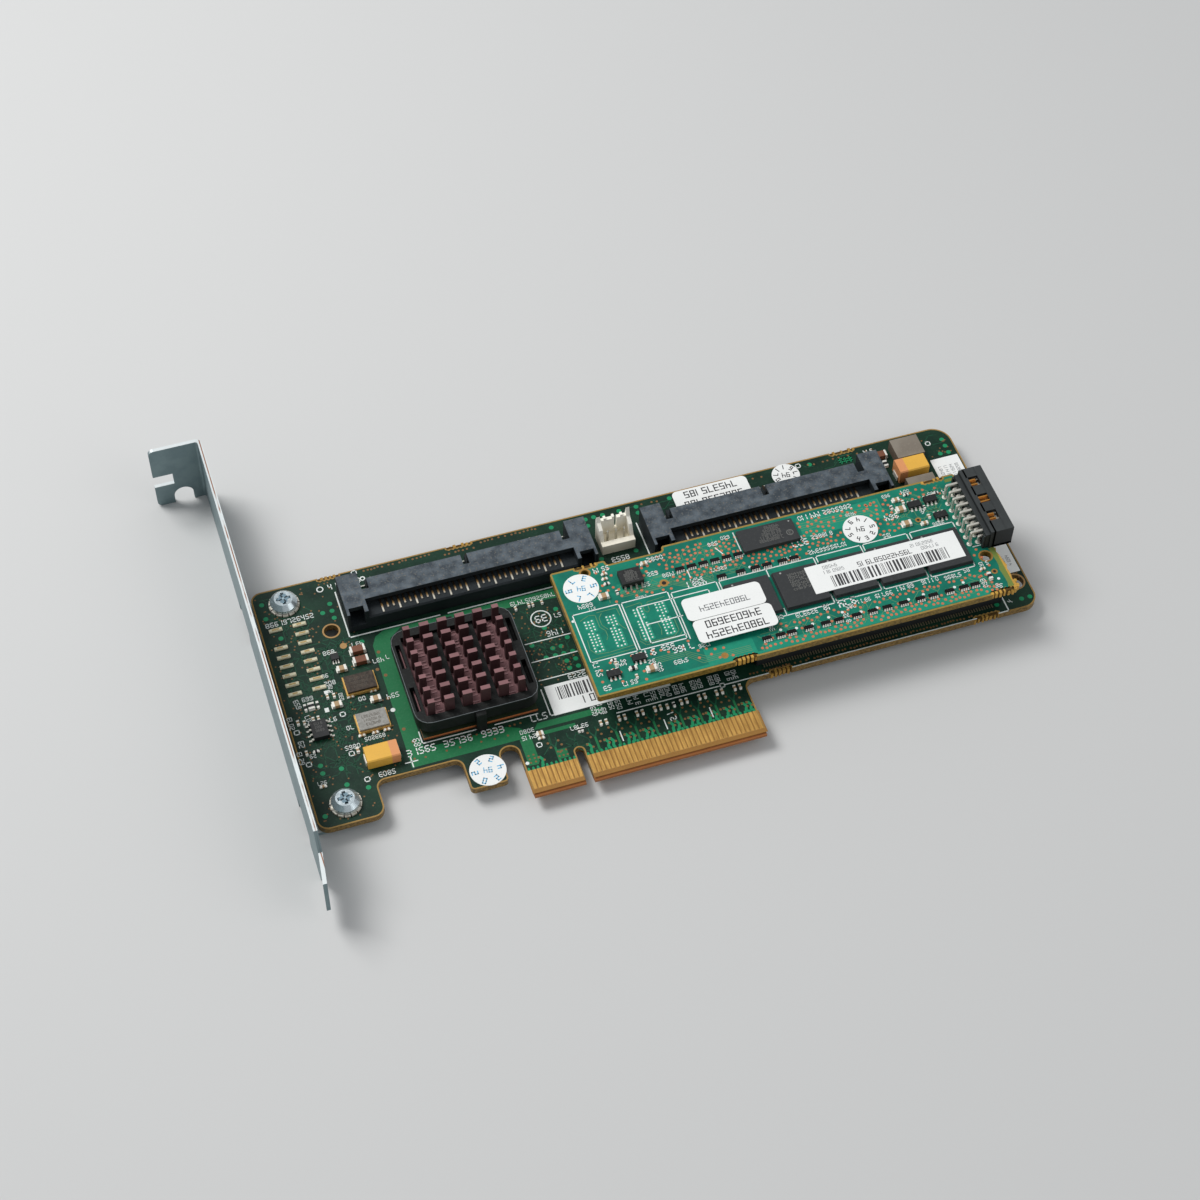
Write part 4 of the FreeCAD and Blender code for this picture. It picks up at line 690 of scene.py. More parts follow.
# ---- Processor ----
# A laminate package on solder balls, with a plated metal lid and a thermal pad. Its edge shows
# the package's copper layers as orange and brown bands.
def banded(brush):
    """Orange upper band over reddish-brown layers."""
    layers = brush.maths("SINE", brush.times(brush.z, 26.0))
    lower = brush.mix(brush.ramp(layers, -0.3, 0.5), (86, 44, 28), (128, 66, 38))
    sides = brush.mix(brush.ramp(brush.z, 0.78, 0.84), lower, (186, 108, 58))
    return brush.mix(brush.ramp(brush.facing(), 0.5, 0.9), sides, (40, 52, 34))


dress(finish("package_substrate", (150, 90, 50), 0.5, 0.0, 0.3, 0.3, 0.12, 0.05, paint=banded),
      "processor_package")
dress(white_copper, "processor_balls")
dress(finish("nickel_lid", (166, 166, 162), 0.35, 0.9), "processor_lid")
dress(finish("thermal_rubber", (110, 112, 118), 0.8), "thermal_pad")

# ---- Heatsink ----
# Sawn aluminium, anodised a purplish brown; the faces that look up are painted a lighter pink, as painted
# light from above. The saw leaves ridges across the floor between the pins.
# The film paints every face that looks up a lighter pink: painted light from above.
dress(finish("anodising_lit_tops", (70, 46, 47), 0.45, 0.25, 0.4, 0.3, 0.22, 0.05, film=0.95,
             dust_and_light=(146, 106, 108), bump=0.2), "heatsink")
sink_low, sink_high = box_mm("heatsink")
pin_height = 5.65
column_pitch, row_pitch, ridge_pitch, ridge_half = 3.94, 3.31, 0.85, 0.16
floor = sink_high.z - pin_height
middle_x, middle_y = (sink_low.x + sink_high.x) / 2, (sink_low.y + sink_high.y) / 2
ridges = Stock()
dice = random.Random(11)
for column in (-2, 0, 2):
    for row in range(7):
        y = middle_y + row_pitch * (row - 3)
        for lift in (-ridge_pitch, 0.0, ridge_pitch):
            x = middle_x + column * column_pitch - dice.uniform(0.7, 0.86)
            ridges.box((x, x + dice.uniform(1.3, 1.6)), (y + lift - ridge_half, y + lift + ridge_half),
                       (floor - 0.02, floor + dice.uniform(0.10, 0.22)))
# The ridges' colour and film are lighter still: painted light on the floor.
piece("saw_ridges", ridges, finish("ridge_anodising_lit_tops", (120, 86, 88), 0.4, 0.3, 0.4, 0.2, 0.3, 0.05, film=0.9,
                                   dust_and_light=(172, 132, 134)), "anodised_aluminium")

# ---- Heatsink clip ----
# Black moulded nylon, a little glossy, with rounded corners and a thin grey line round its upper outer edge
# as a painted highlight.
dress(finish("clip_nylon", (18, 20, 19), 0.5, 0.0, 0.25, 0.4, 0.2, 0.45, dust_and_light=(58, 62, 59)), "heatsink_clip")
shade = Stock(floor - 1.7, floor - 0.2)
rim_highlight = Stock(floor + 1.49, floor + 1.57)
clip_low, clip_high = box_mm("heatsink_clip")
clip_x, clip_y = (clip_low.x + clip_high.x) / 2, (clip_low.y + clip_high.y) / 2
clip_width, clip_depth, proud, corner = 26.7, 25.0, 0.03, 3.2
from_x, from_y = clip_width / 2 + proud - corner, clip_depth / 2 + proud - corner
slot_x, slot_y, slot_half_width, slot_half_length = 12.25, 5.8, 0.50, 3.15
path = []
for side_x, side_y, start in ((1, 1, 0), (-1, 1, 90), (-1, -1, 180), (1, -1, 270)):
    x, y = middle_x + side_x * slot_x, middle_y + side_y * slot_y
    shade.box((x - slot_half_width, x + slot_half_width), (y - slot_half_length, y + slot_half_length))
    x, y = clip_x + side_x * from_x, clip_y + side_y * from_y
    for step in range(5):
        t = math.radians(start + step * 22.5)
        path.append((x + corner * math.cos(t), y + corner * math.sin(t)))
# A thin pale grey line round the upper outer edge: a painted highlight.
rim_highlight.stroke(path + path[:1], 0.12)
piece("slot_shade", shade, finish("slot_shade", (8, 9, 9), 0.7, 0.0, 0.2), "clip_plastic")
piece("clip_rim_highlight_edge", rim_highlight, finish("rim_highlight_nylon", (104, 110, 112), 0.4, 0.0, 0.5), "clip_plastic")


# ---- Cable receptacles ----
# Glass-filled black nylon with stamped contacts in two blocks, gold at their tips and tinned at their
# soldered feet. A settled dusting makes the tops blue-grey; the fronts stay nearly black, and the bay floors
# are kept nearly black as painted shade.
def dust_and_bay_shade(brush):
    """Clouded blue-grey dusting on the tops, nearly black nylon in front, and painted shade on the bay floors
    below the tops' height.
    """
    cloud = brush.ramp(brush.noise(2.2, 9.0), 0.36, 0.66)
    scuff = brush.ramp(brush.noise(0.45), 0.56, 0.72)
    dusted = brush.mix(scuff, brush.mix(cloud, (58, 66, 73), (94, 103, 110)), (110, 108, 102))
    # The height cut keeps the bay floors nearly black: painted shade under the cover.
    tops = brush.times(brush.ramp(brush.facing(), 0.6, 0.95), brush.ramp(brush.z, 4.5, 4.7))
    return brush.mix(tops, (33, 39, 42), dusted)


def contact_tip_and_shade(front):
    """Silvery at the mating end, gold behind it, and dark further in as painted shade under the cover."""
    def paint(brush):
        depth = brush.plus(brush.y, -front)
        silver = brush.mix(brush.ramp(depth, 1.3, 2.2), (226, 220, 204), (176, 138, 84))
        # The dark brown deep in is painted shade under the cover.
        return brush.mix(brush.ramp(depth, 2.3, 3.0), silver, (60, 48, 34))
    return paint


nylon = finish("receptacle_nylon", (26, 34, 38), 0.6, 0.0, 0.25, 0.35, 0.2, 0.2, dust_and_light=(82, 88, 92), bump=0.3,
               paint=dust_and_bay_shade)
feet = Stock(-0.005, 0.14)
pegs = Stock(-0.01, 0.35)
peg_offsets, peg_half, peg_back = (-22.4, 0.6, 23.6), 0.55, 11.35
soldered_share = 0.75
dice = random.Random(5)
for i in ("1", "2"):
    name = "cable_receptacle_" + i
    dress(nylon, name)
    low, high = box_mm(name)
    dress(finish("contact_plate_" + i, (196, 180, 148), 0.34, 0.6, 0.5, 0.2, 0.2, 0.05,
                 paint=contact_tip_and_shade(low.y)), name + "_contacts")
    for x0, y0, z0, x1, tail, z1 in bodies(name + "_contacts"):
        x = (x0 + x1) / 2
        if dice.random() < soldered_share:
            x0 = x - dice.uniform(0.16, 0.24)
            feet.box((x0, x + dice.uniform(0.16, 0.24)), (tail - 0.5, tail + dice.uniform(0.30, 0.85)))
    for offset in peg_offsets:
        x = (low.x + high.x) / 2 + offset
        pegs.box((x - peg_half, x + peg_half), (low.y + peg_back, low.y + peg_back + 0.3))
piece("receptacle_solder", feet, white_copper, "tin")
piece("receptacle_pegs", pegs, white_copper, "tin")


# ---- White power header ----
# Ivory nylon, darker inside where it is thin and shaded, with three square tinned pins soldered
# through the board.
def ivory(brush):
    return brush.mix(brush.ramp(brush.z, 1.0, 5.0), (240, 231, 208), (248, 245, 233))


dress(finish("ivory_nylon", (238, 234, 220), 0.5, 0.0, 0.4, 0.4, 0.05, 0.04, paint=ivory), "power_header")
tinned = finish("tinned", (186, 184, 174), 0.35, 0.75, 0.5, 0.2, 0.2, 0.05)
dress(tinned, "power_header_pins")

# ---- Mezzanine connector ----
# A black socket and plug that carry the cache module, with a fine-pitch row of tinned feet along both sides
# of each half. The feet are painted dark as the shade under the module.
black_nylon = finish("mezzanine_nylon", (30, 33, 34), 0.55, 0.0, 0.3, 0.3, 0.2, 0.25)
dress(black_nylon, "mezzanine_socket", "mezzanine_plug")
# Tin painted dark: the shade under the module.
shaded_tin = finish("shaded_tin", (112, 104, 84), 0.5, 0.3, 0.4, 0.2, 0.25, 0.1)
foot_pitch, foot_width, foot_height = 0.6, 0.3, 0.16
first_foot, both_ends = 1.6, 3
for name, level, direction in (("mezzanine_socket", 0.0, 1), ("mezzanine_plug", 7.03, -1)):
    low, high = box_mm(name)
    rows = Stock(*sorted((level, level + direction * foot_height)))
    for i in range(int((high.x - low.x - both_ends) / foot_pitch)):
        x = low.x + first_foot + i * foot_pitch
        for y, side in ((low.y, -1), (high.y, 1)):
            rows.box((x - foot_width / 2, x + foot_width / 2), (y - side * 0.1, y + side * 0.85))
    piece(name + "_feet", rows, shaded_tin, "tin", name + "_leads")

# ---- Cache module ----
# A second board, teal-masked, that stands on the mezzanine connector. It carries open copper
# vias in crowds, white outlines round every memory site, and at its left end two empty sites
# whose tinned ball pads show.
dress(finish("teal_solder_mask", (14, 124, 102), 0.40, 0.0, 0.25, 0.6, 0.10, 0.06, bump=0.1,
             paint=laminate((16, 128, 104), (12, 108, 90), (150, 122, 54))), "module_board")
mod_low, mod_high = box_mm("module_board")
base = mod_high.z
mod_pours = Stock(base - 0.01, base + 0.008)
edge_pour = Stock(base - 0.01, base + 0.014)
mod_glow = Stock(base - 0.01)
mod_tracks = Stock(base - 0.01, base + 0.012)
mod_vias = Stock(base - 0.01, base + 0.020)
mod_ink = Stock(base, base + 0.026)
mod_bare = Stock(base - 0.02, base + 0.010)
mod_rims = Stock(base - 0.01, base + 0.024)
mod_hole_shade = Stock(base - 0.01, base + 0.014)
mod_pads = Stock(base - 0.01, base + 0.024)
border(mod_bare, "module_board", base, 0.42)
mod_pours.box((8.0, 100.2), (14.35, 14.95), (base - 0.01, base + 0.010))
for xs, ys in (((31.0, 42.0), (14.95, 19.0)), ((62.5, 82.0), (41.0, 46.6)), ((44.0, 96.0), (14.95, 16.4)),
               ((19.0, 30.0), (38.4, 41.0))):
    mod_pours.box(xs, ys)
fringe = random.Random(21)
for x0, x1, y0, y1 in ((100.0, 101.2, 14.9, 26.0), (98.3, 100.5, 46.3, 47.2)):
    inner = [(x0 + fringe.uniform(-0.25, 0.3), y0 + (y1 - y0) * k / 9) for k in range(10)]
    edge_pour.prism([(x1, y0), (x1, y1)] + inner[::-1])

# Torn laminate: a ragged strip down the right edge, and four snapped tabs.
tabs = Stock(mod_low.z + 0.03, base + 0.002)
mod_hollow_shade = Stock(mod_low.z + 0.05, base + 0.012)
outer = [(mod_high.x + (0.75 if k < 9 else 0.35) + fringe.uniform(-0.18, 0.28), 14.5 + k * 1.02)
         for k in range(12)]
tabs.prism([(mod_high.x - 0.05, 14.2)] + outer + [(mod_high.x - 0.05, 25.95)])
for x, y, radius in ((101.9, 14.9, 0.55), (101.2, 14.4, 0.5), (102.0, 16.2, 0.42), (100.4, 14.25, 0.4)):
    tabs.disc(x, y, radius, 9, mod_low.z + 0.1, base - 0.1)
tabs.low, tabs.high = mod_low.z + 0.02, base + 0.016
for x, edge, inward in ((mod_low.x + 33.0, mod_low.y, 1), (mod_high.x - 2.8, mod_low.y, 1),
                        (mod_low.x + 8.0, mod_high.y, -1), (mod_high.x - 5.3, mod_high.y, -1)):
    snapped(tabs, mod_hollow_shade, x, edge, inward, 5)
torn = finish("snapped_teal_laminate", (196, 152, 66), 0.6, 0.0, 0.3, 0.22, 0.45, 0.05, bump=0.6)
piece("snapped_module_tabs", tabs, torn, "teal_board")
piece("snapped_module_hollow_shade", mod_hollow_shade, hollow_shade_skin, "teal_board")


def crowd(stock, x0, y0, x1, y1, count, gap, seed):
    """Vias scattered through a rectangle, none nearer to another than gap."""
    turn = random.Random(seed)
    kept = []
    for i in range(count * 14):
        x, y = turn.uniform(x0, x1), turn.uniform(y0, y1)
        if len(kept) < count and all(math.dist((x, y), other) > gap for other in kept):
            kept.append((x, y))
            stock.disc(x, y, 0.34)


for seed, (x0, y0, x1, y1, count, gap) in enumerate((
        (30.5, 41.9, 48.0, 46.4, 52, 0.95), (31.0, 38.0, 48.0, 39.9, 26, 0.95),
        (62.4, 41.2, 70.5, 46.0, 22, 1.0), (78.6, 36.4, 84.0, 46.0, 30, 1.1),
        (49.0, 37.9, 71.0, 40.2, 44, 0.95), (48.5, 35.6, 62.0, 37.4, 14, 1.0),
        (43.0, 14.9, 98.5, 16.4, 84, 0.95), (49.2, 19.2, 96.5, 20.4, 44, 0.95),
        (44.0, 17.0, 97.0, 18.0, 34, 1.1), (17.5, 36.4, 30.0, 38.3, 12, 1.1),
        (24.6, 41.6, 30.0, 45.8, 9, 1.2), (29.5, 15.6, 38.0, 19.8, 9, 1.3), (70.5, 43.8, 80.5, 46.2, 12, 1.2),
        (94.6, 18.6, 98.6, 27.0, 8, 1.3), (15.0, 39.6, 19.2, 45.8, 10, 1.1), (8.0, 15.2, 20.6, 22.4, 14, 1.5),
        (86.5, 43.6, 98.0, 46.4, 12, 1.3), (20.8, 20.2, 30.0, 22.2, 5, 1.6)), 1):
    crowd(mod_vias, x0, y0, x1, y1, count, gap, seed)
for path in ([(8.5, 34.0), (10.6, 34.9), (12.0, 34.6), (12.0, 31.2), (12.9, 30.0), (12.9, 28.4),
              (12.4, 27.6)], [(12.5, 35.1), (16.9, 35.1), (17.1, 33.0)],
             [(13.4, 34.6), (12.6, 33.6), (12.6, 31.6), (13.5, 30.2)],
             [(8.4, 28.6), (8.2, 26.2), (9.2, 24.6), (12.0, 24.3), (17.4, 24.6)],
             [(15.9, 31.6), (16.6, 30.0), (17.2, 29.2)],
             [(19.0, 34.6), (22.4, 34.9), (22.6, 32.4), (23.1, 31.9), (23.6, 32.4), (23.7, 34.6),
              (27.8, 34.9)],
             [(19.0, 28.2), (19.6, 27.4), (19.4, 25.6), (20.4, 24.4), (26.4, 24.2), (27.9, 25.4),
              (27.9, 28.4)], [(19.0, 25.2), (20.0, 23.8), (27.2, 23.6), (28.4, 24.8)],
             [(24.2, 28.8), (24.4, 26.8), (24.0, 25.4)], [(8.0, 23.5), (17.4, 23.7)]):
    mod_tracks.stroke(path, 0.13, high=base + 0.014)
for i in range(4):
    d, y = i * 0.45, 44.9 - i * 0.62
    mod_tracks.stroke([(62.6, y), (78.0 + d, y), (79.4 + d, y - 1.3)], 0.12)
    mod_tracks.stroke([(20.5, 18.6 + d), (27.0, 18.6 + d), (30.0 + d, 15.7 + d), (41.0, 15.7 + d)], 0.12)
    mod_tracks.stroke([(19.0, 38.8 - d), (30.6, 38.8 - d), (33.6, 37.2 - d), (39.6, 37.2 - d)], 0.12)
for x0, y0, x1, y1, count, seed in ((31, 41.5, 48, 47, 60, 31), (43, 14.8, 98, 20.6, 130, 32),
                                    (79, 36.5, 98, 46.8, 70, 33), (15, 36.5, 48, 41.5, 70, 34)):
    wander(mod_tracks, x0, y0, x1, y1, count, seed, 0.12)

# Ball pads of the empty sites, with the glow of the copper round each one under the mask.
ball_pitch, top_row = 0.8, 33.35
for left in (9.25, 14.15, 20.3, 25.25):
    for row in range(11):
        for step in range(3):
            if (row * 5 + step * 3) % 11 != 4:
                x, y = left + step * ball_pitch, top_row - row * ball_pitch - (0.12 if step == 1 else 0)
                mod_pads.disc(x, y, 0.20)
                mod_glow.disc(x + 0.12, y - 0.10, 0.50, 10, high=base + 0.004 + 0.001 * ((row + step) % 4))

# Print on the module: outlines, part numbers and dots.
for path in ([(7.35, 22.85), (17.75, 22.85), (17.75, 35.95), (7.35, 35.95), (7.35, 22.85)],
             [(18.35, 22.85), (28.85, 22.85), (28.85, 35.95), (18.35, 35.95), (18.35, 22.85)],
             [(29.45, 22.6), (29.45, 35.35), (39.8, 35.35), (39.8, 32.0)],
             [(40.4, 32.6), (40.4, 35.25), (62.3, 35.25), (62.3, 33.0)],
             [(21.1, 33.85), (37.5, 33.85), (37.5, 32.8)], [(21.1, 33.85), (21.1, 23.9), (29.0, 23.9)],
             [(21.8, 28.85), (29.9, 28.85)], [(62.9, 33.0), (62.9, 35.3), (73.3, 35.3), (73.3, 33.0)],
             [(73.9, 33.0), (73.9, 35.3), (84.3, 35.3), (84.3, 33.0)],
             [(85.0, 33.0), (85.0, 35.3), (95.3, 35.3), (95.3, 33.4)],
             [(50.0, 22.1), (62.3, 22.1), (62.3, 24.6)],
             [(62.9, 24.6), (62.9, 22.35), (73.3, 22.35), (73.3, 24.6)],
             [(74.0, 24.6), (74.0, 22.35), (84.3, 22.35), (84.3, 24.6)],
             [(85.0, 24.6), (85.0, 22.35), (95.2, 22.35), (95.2, 24.0)],
             [(47.9, 47.0), (47.9, 40.7), (61.9, 40.7), (61.9, 41.6)], [(51.3, 33.2), (51.3, 35.2)],
             [(51.3, 22.2), (51.3, 24.0)], [(96.9, 27.4), (98.6, 27.4)], [(34.9, 40.2), (34.9, 38.2)],
             [(42.8, 44.2), (43.8, 42.2)]):
    mod_ink.stroke(path, 0.24)
for turn, marks in (
        (180, ((17.1, 46.1, 4, 1.1), (29.2, 45.4, 4, 1.1), (10.8, 37.6, 4, 1.0), (45.8, 46.3, 3, 0.85),
               (42.6, 45.4, 3, 0.95), (31.2, 40.3, 5, 0.95), (36.0, 37.2, 4, 0.85), (41.6, 38.5, 5, 0.85),
               (35.7, 36.3, 4, 1.3), (27.4, 41.6, 3, 1.0), (25.2, 39.2, 2, 1.0), (20.2, 21.6, 2, 1.5),
               (24.2, 21.9, 3, 1.2), (27.2, 20.7, 4, 1.4), (19.7, 19.3, 2, 1.0), (8.6, 15.6, 2, 1.1),
               (13.6, 15.5, 4, 1.0), (25.6, 17.5, 4, 0.95), (31.9, 20.0, 4, 0.9), (49.3, 22.1, 3, 0.9),
               (69.3, 46.4, 13, 1.15), (84.0, 46.6, 3, 0.8), (88.6, 46.6, 3, 0.8), (61.0, 39.9, 3, 1.5),
               (66.4, 40.5, 6, 1.0), (74.5, 44.1, 4, 0.7), (66.4, 36.7, 11, 1.0), (80.2, 36.1, 3, 0.9),
               (55.5, 21.4, 6, 1.0), (60.4, 21.6, 2, 1.3), (64.9, 21.6, 3, 1.7), (68.6, 20.9, 4, 0.9),
               (73.2, 21.1, 5, 0.95), (78.4, 21.5, 5, 0.95), (84.2, 21.6, 5, 0.95), (89.4, 21.2, 5, 0.95),
               (92.9, 21.8, 2, 0.9), (97.2, 22.4, 3, 0.9), (65.2, 20.2, 3, 0.9), (83.0, 40.7, 3, 1.3),
               (94.2, 44.2, 3, 0.9), (96.9, 43.9, 1, 1.1), (57.0, 36.7, 3, 0.7), (92.2, 35.9, 4, 0.8),
               (23.0, 36.3, 6, 0.5), (12.0, 36.4, 3, 0.6), (44.5, 40.2, 3, 0.6))),
        (90, ((8.1, 20.7, 4, 1.1), (20.8, 17.5, 3, 1.0), (63.4, 17.6, 3, 1.0), (95.2, 17.4, 3, 1.0),
              (46.9, 20.0, 2, 1.0))),
        (100, ((12.4, 21.2, 3, 1.0), (90.2, 40.2, 2, 0.9))),
        (80, ((13.9, 20.9, 2, 1.0),)),
        (160, ((98.0, 15.8, 2, 1.0),))):
    for x, y, count, height in marks:
        mod_ink.numerals(x, y, count, height, turn, int(x * 11 + y * 5), 0.19)
for x, y in ((55.7, 18.3), (59.6, 18.9), (62.9, 19.3), (66.8, 18.2), (70.5, 18.2), (77.8, 18.2), (81.4, 18.5),
             (88.6, 18.3), (90.9, 18.9), (7.0, 34.4), (98.7, 17.6), (48.6, 18.9), (52.0, 18.3), (48.2, 36.9)):
    mod_ink.disc(x, y, 0.34, 12)
for x, y, inner, outer in ((98.50, 24.20, 1.27, 1.62), (13.40, 46.10, 0.87, 1.30), (28.95, 38.40, 0.50, 0.98),
                           (88.30, 38.10, 0.34, 0.66), (98.65, 19.70, 0.36, 0.70)):
    mod_rims.ring(x, y, inner, outer)
    if inner < 0.6:
        # A dark disc over each small hole: painted shade inside it.
        mod_hole_shade.disc(x, y, inner + 0.03, 20)
mod_rims.disc(34.95, 16.1, 0.78, 20)
under_vias = Stock(mod_low.z - 0.022, mod_low.z + 0.01)
for i in range(260):
    under_vias.disc(dice.uniform(8, 99), dice.uniform(24.5, 47), 0.28)
teal_pour = finish("teal_pour", (30, 142, 114), 0.4, 0.0, 0.25, 0.6, 0.1, 0.05)
teal_glow = finish("teal_over_pads", (40, 148, 120), 0.4, 0.0, 0.25, 0.6, 0.1, 0.05)
teal_track = finish("teal_track", (104, 146, 104), 0.4, 0.0, 0.25, 0.3, 0.1, 0.05)
orange_via = finish("bare_via", (206, 122, 86), 0.5, 0.15, 0.4, 0.2, 0.15, 0.05)
rim_gold = finish("gold_rim", (178, 132, 66), 0.4, 0.4, 0.5, 0.3, 0.25, 0.05)
edge_green = finish("yellow_green_pour", (118, 134, 66), 0.4, 0.0, 0.25)
module_edge = finish("bare_module_laminate", (156, 128, 62), 0.55, 0.0, 0.3, 0.4, 0.3)
piece("module_pours", mod_pours, teal_pour, "teal_board")
piece("module_edge_pour", edge_pour, edge_green, "teal_board")
piece("module_pad_glow", mod_glow, teal_glow, "teal_board")
piece("module_tracks", mod_tracks, teal_track, "teal_board")
piece("module_vias", mod_vias, orange_via, "gold")
piece("module_print", mod_ink, white_ink, "paper")
piece("bare_module_edge", mod_bare, module_edge, "teal_board")
piece("module_hole_rims", mod_rims, rim_gold, "gold")
piece("module_small_hole_shade", mod_hole_shade, finish("hole_shade", (30, 22, 14), 0.8), "header_black")
piece("empty_site_pads", mod_pads, finish("site_pad", (238, 240, 234), 0.4, 0.1, 0.5), "tin")
piece("module_underside_vias", under_vias, orange_via, "gold")

# ---- Memory, driver and other black chips ----
# Moulded epoxy with a fine matt grain, a small round mark by pin one, and lines of plain figures
# in grey laser print. The small ones stand on gull-wing feet.
epoxy = finish("chip_epoxy", (50, 52, 53), 0.6, 0.0, 0.35, 0.2, 0.14, 0.12, bump=0.3)
dark_epoxy = finish("dark_epoxy", (30, 31, 31), 0.5, 0.0, 0.4, 0.2, 0.14, 0.15, bump=0.3)
memory_chips = ["memory_chip_" + str(i) for i in range(1, 6)]
dress(epoxy, *memory_chips, "driver_chip")
dress(dark_epoxy, "power_switch_chip", "regulator_chip", "module_small_chips", "board_small_chip")
dress(finish("resistor_glaze", (12, 12, 12), 0.6, 0.0, 0.2, 0.2, 0.1), "resistor_arrays")
dress(tinned, "power_switch_leads", "regulator_leads")
laser, dents = Stock(), Stock()


def mark_on(stock, name, thickness=0.015):
    """Puts the stock's next marks on top of a CAD node."""
    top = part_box(name)[1].z * 1000
    stock.low, stock.high = top - 0.01, top + thickness


mark_on(laser, "memory_chip_1", 0.012)
for x in (55.2, 56.3, 57.5, 58.6):
    laser.numerals(x, 29.4, 7, 0.80, 90, int(x * 10), 0.17)
mark_on(laser, "driver_chip")
for i in range(5):
    laser.numerals(56.2 - i * 0.28, 45.4 - i * 0.86, 6 + i, 0.66, 180, 60 + i, 0.17)
laser.ring(59.6, 42.6, 0.62, 0.80, 16)
laser.numerals(59.6, 42.6, 1, 0.8, 180, 4)
mark_on(laser, "power_switch_chip")
for i in range(4):
    laser.numerals(22.3, 42.5 - i * 0.72, 4 if i == 0 else 6, 0.58, 180, 80 + i, 0.2)
mark_on(laser, "regulator_chip")
for i in range(3):
    laser.numerals(-50.7, 30.3 - i * 0.9, 4, 0.55, 180, 90 + i, 0.14)
for name in memory_chips:
    low, high = box_mm(name)
    mark_on(dents, name, 0.014)
    dents.disc(low.x + 1.9, high.y - 0.75, 0.24, 14)
mark_on(dents, "driver_chip")
dents.disc(60.4, 45.7, 0.2, 14)
piece("laser_print", laser, finish("laser_grey", (112, 112, 108), 0.7), "chip_black")
piece("pin_one_marks", dents, finish("pin_mark_grey", (160, 160, 156), 0.7), "chip_black")

# Gull-wing feet, drawn from the chip's side down to the board: shoulder, leg and toe.
feet = Stock()
per_side = 3
for name, level, width in (("module_small_chips", base, 0.34), ("board_small_chip", 0.0, 0.24)):
    bends = ((-0.05, 0.30, width / 2, 0.30, 0.48), (0.20, 0.34, width / 2, 0.0, 0.48),
             (0.20, 0.72, width * 0.65, -0.01, 0.16))
    for x0, y0, z0, x1, y1, z1 in bodies(name):
        for k in range(per_side):
            x = x0 + (x1 - x0) / per_side * (k + 0.5)
            for y, side in ((y0, -1), (y1, 1)):
                for start, end, half, low, high in bends:
                    feet.box((x - half, x + half), (y + side * start, y + side * end),
                             (level + low, level + high))

# Resistor arrays have four plated ends a side, with solder at each foot.
for x0, y0, z0, x1, y1, z1 in bodies("resistor_arrays"):
    for k in range(4):
        x = x0 + (x1 - x0) * (k + 0.5) / 4
        for y, side, drop, toe in ((y0, -1, 0.0, 0.34), (y1, 1, 0.14, 0.16)):
            feet.box((x - 0.14, x + 0.14), (y - side * 0.03, y + side * 0.10), (base, z1 - drop))
            feet.box((x - 0.17, x + 0.17), (y, y + side * toe), (base - 0.01, base + 0.15))
solder = finish("solder_white", (238, 236, 227), 0.35, 0.1, 0.5, 0.2, 0.2, 0.05)
piece("small_chip_feet", feet, solder, "tin")

# ---- Battery lead header ----
# A two-row black shroud on the module's far edge, with gold sockets seen in its three top
# windows, and bright pins that run back and down into solder rings.
shroud_skin = finish("shroud_nylon", (34, 37, 38), 0.5, 0.0, 0.35, 0.5, 0.25, 0.35, film=0.6, film_above=12.4,
                     dust_and_light=(66, 70, 70), bump=0.4)
dress(finish("bright_pin", (222, 218, 206), 0.28, 0.55, 0.6, 0.3, 0.06, 0.0, bump=0.0), "battery_header_pins")
low, high = box_mm("battery_header")
shroud, comb, sockets, collars = Stock(), Stock(), Stock(), Stock()
wall = 0.75
roof = high.z - wall
windows = ((29.3, 32.0), (34.5, 36.9), (39.5, 42.1))
front_lip = 1.9
shroud.box((low.x, high.x), (low.y, high.y), (low.z, low.z + wall))
shroud.box((low.x, low.x + 0.40), (low.y, high.y), (low.z + wall - 0.01, high.z))
for y in (low.y, high.y - wall):
    shroud.box((low.x + 0.01, high.x), (y, y + wall), (low.z + 0.01, high.z - 0.01))
shroud.box((high.x - front_lip, high.x), (low.y + 0.01, high.y - 0.01), (roof, high.z))
edges = [low.y + 0.01] + [y for pair in windows for y in pair] + [high.y - 0.01]
for ys in zip(edges[0::2], edges[1::2]):
    shroud.box((low.x + 0.02, high.x - front_lip + 0.05), ys, (roof, high.z))
piece("battery_shroud", shroud, shroud_skin, "header_black", "battery_header")
# The block behind the shroud, in two steps, with a rib at each end of its back face.
inset, rib_width = 0.35, 0.60
comb.box((98.90, low.x + 0.2), (low.y + inset, high.y - inset), (low.z, 13.05))
comb.box((99.95, low.x + 0.3), (low.y + 0.10, high.y - 0.10), (low.z, high.z - 0.02))
for y in (low.y + inset, high.y - inset - rib_width):
    comb.box((98.55, 99.0), (y, y + rib_width), (low.z, 12.6))
piece("battery_comb", comb, shroud_skin, "header_black")
for (y0, y1), reach in zip(windows, (1.6, 2.7, 1.6)):
    for offset in (-0.66, 0.62):
        y = (y0 + y1) / 2 + offset
        sockets.box((low.x + 0.42, low.x + 0.5 + reach), (y - 0.34, y + 0.34), (roof - 0.9, roof + 0.25))
        sockets.box((low.x + 0.42, low.x + 0.3 + reach), (y - 0.16, y + 0.16), (roof + 0.2, roof + 0.5))
for x0, y0, z0, x1, y1, z1 in bodies("battery_header_pins"):
    for radius, sides, foot, top in ((0.62, 14, base - 0.02, base + 0.10),
                                     (0.40, 12, base + 0.08, base + 0.34), (0.62, 14, 6.80, 7.05)):
        collars.disc(x0 + 0.25, (y0 + y1) / 2, radius, sides, foot, top)
piece("battery_sockets", sockets, finish("socket_gold", (196, 136, 60), 0.35, 0.6, 0.5, 0.2, 0.2), "gold")
piece("battery_pin_solder", collars, solder, "tin")


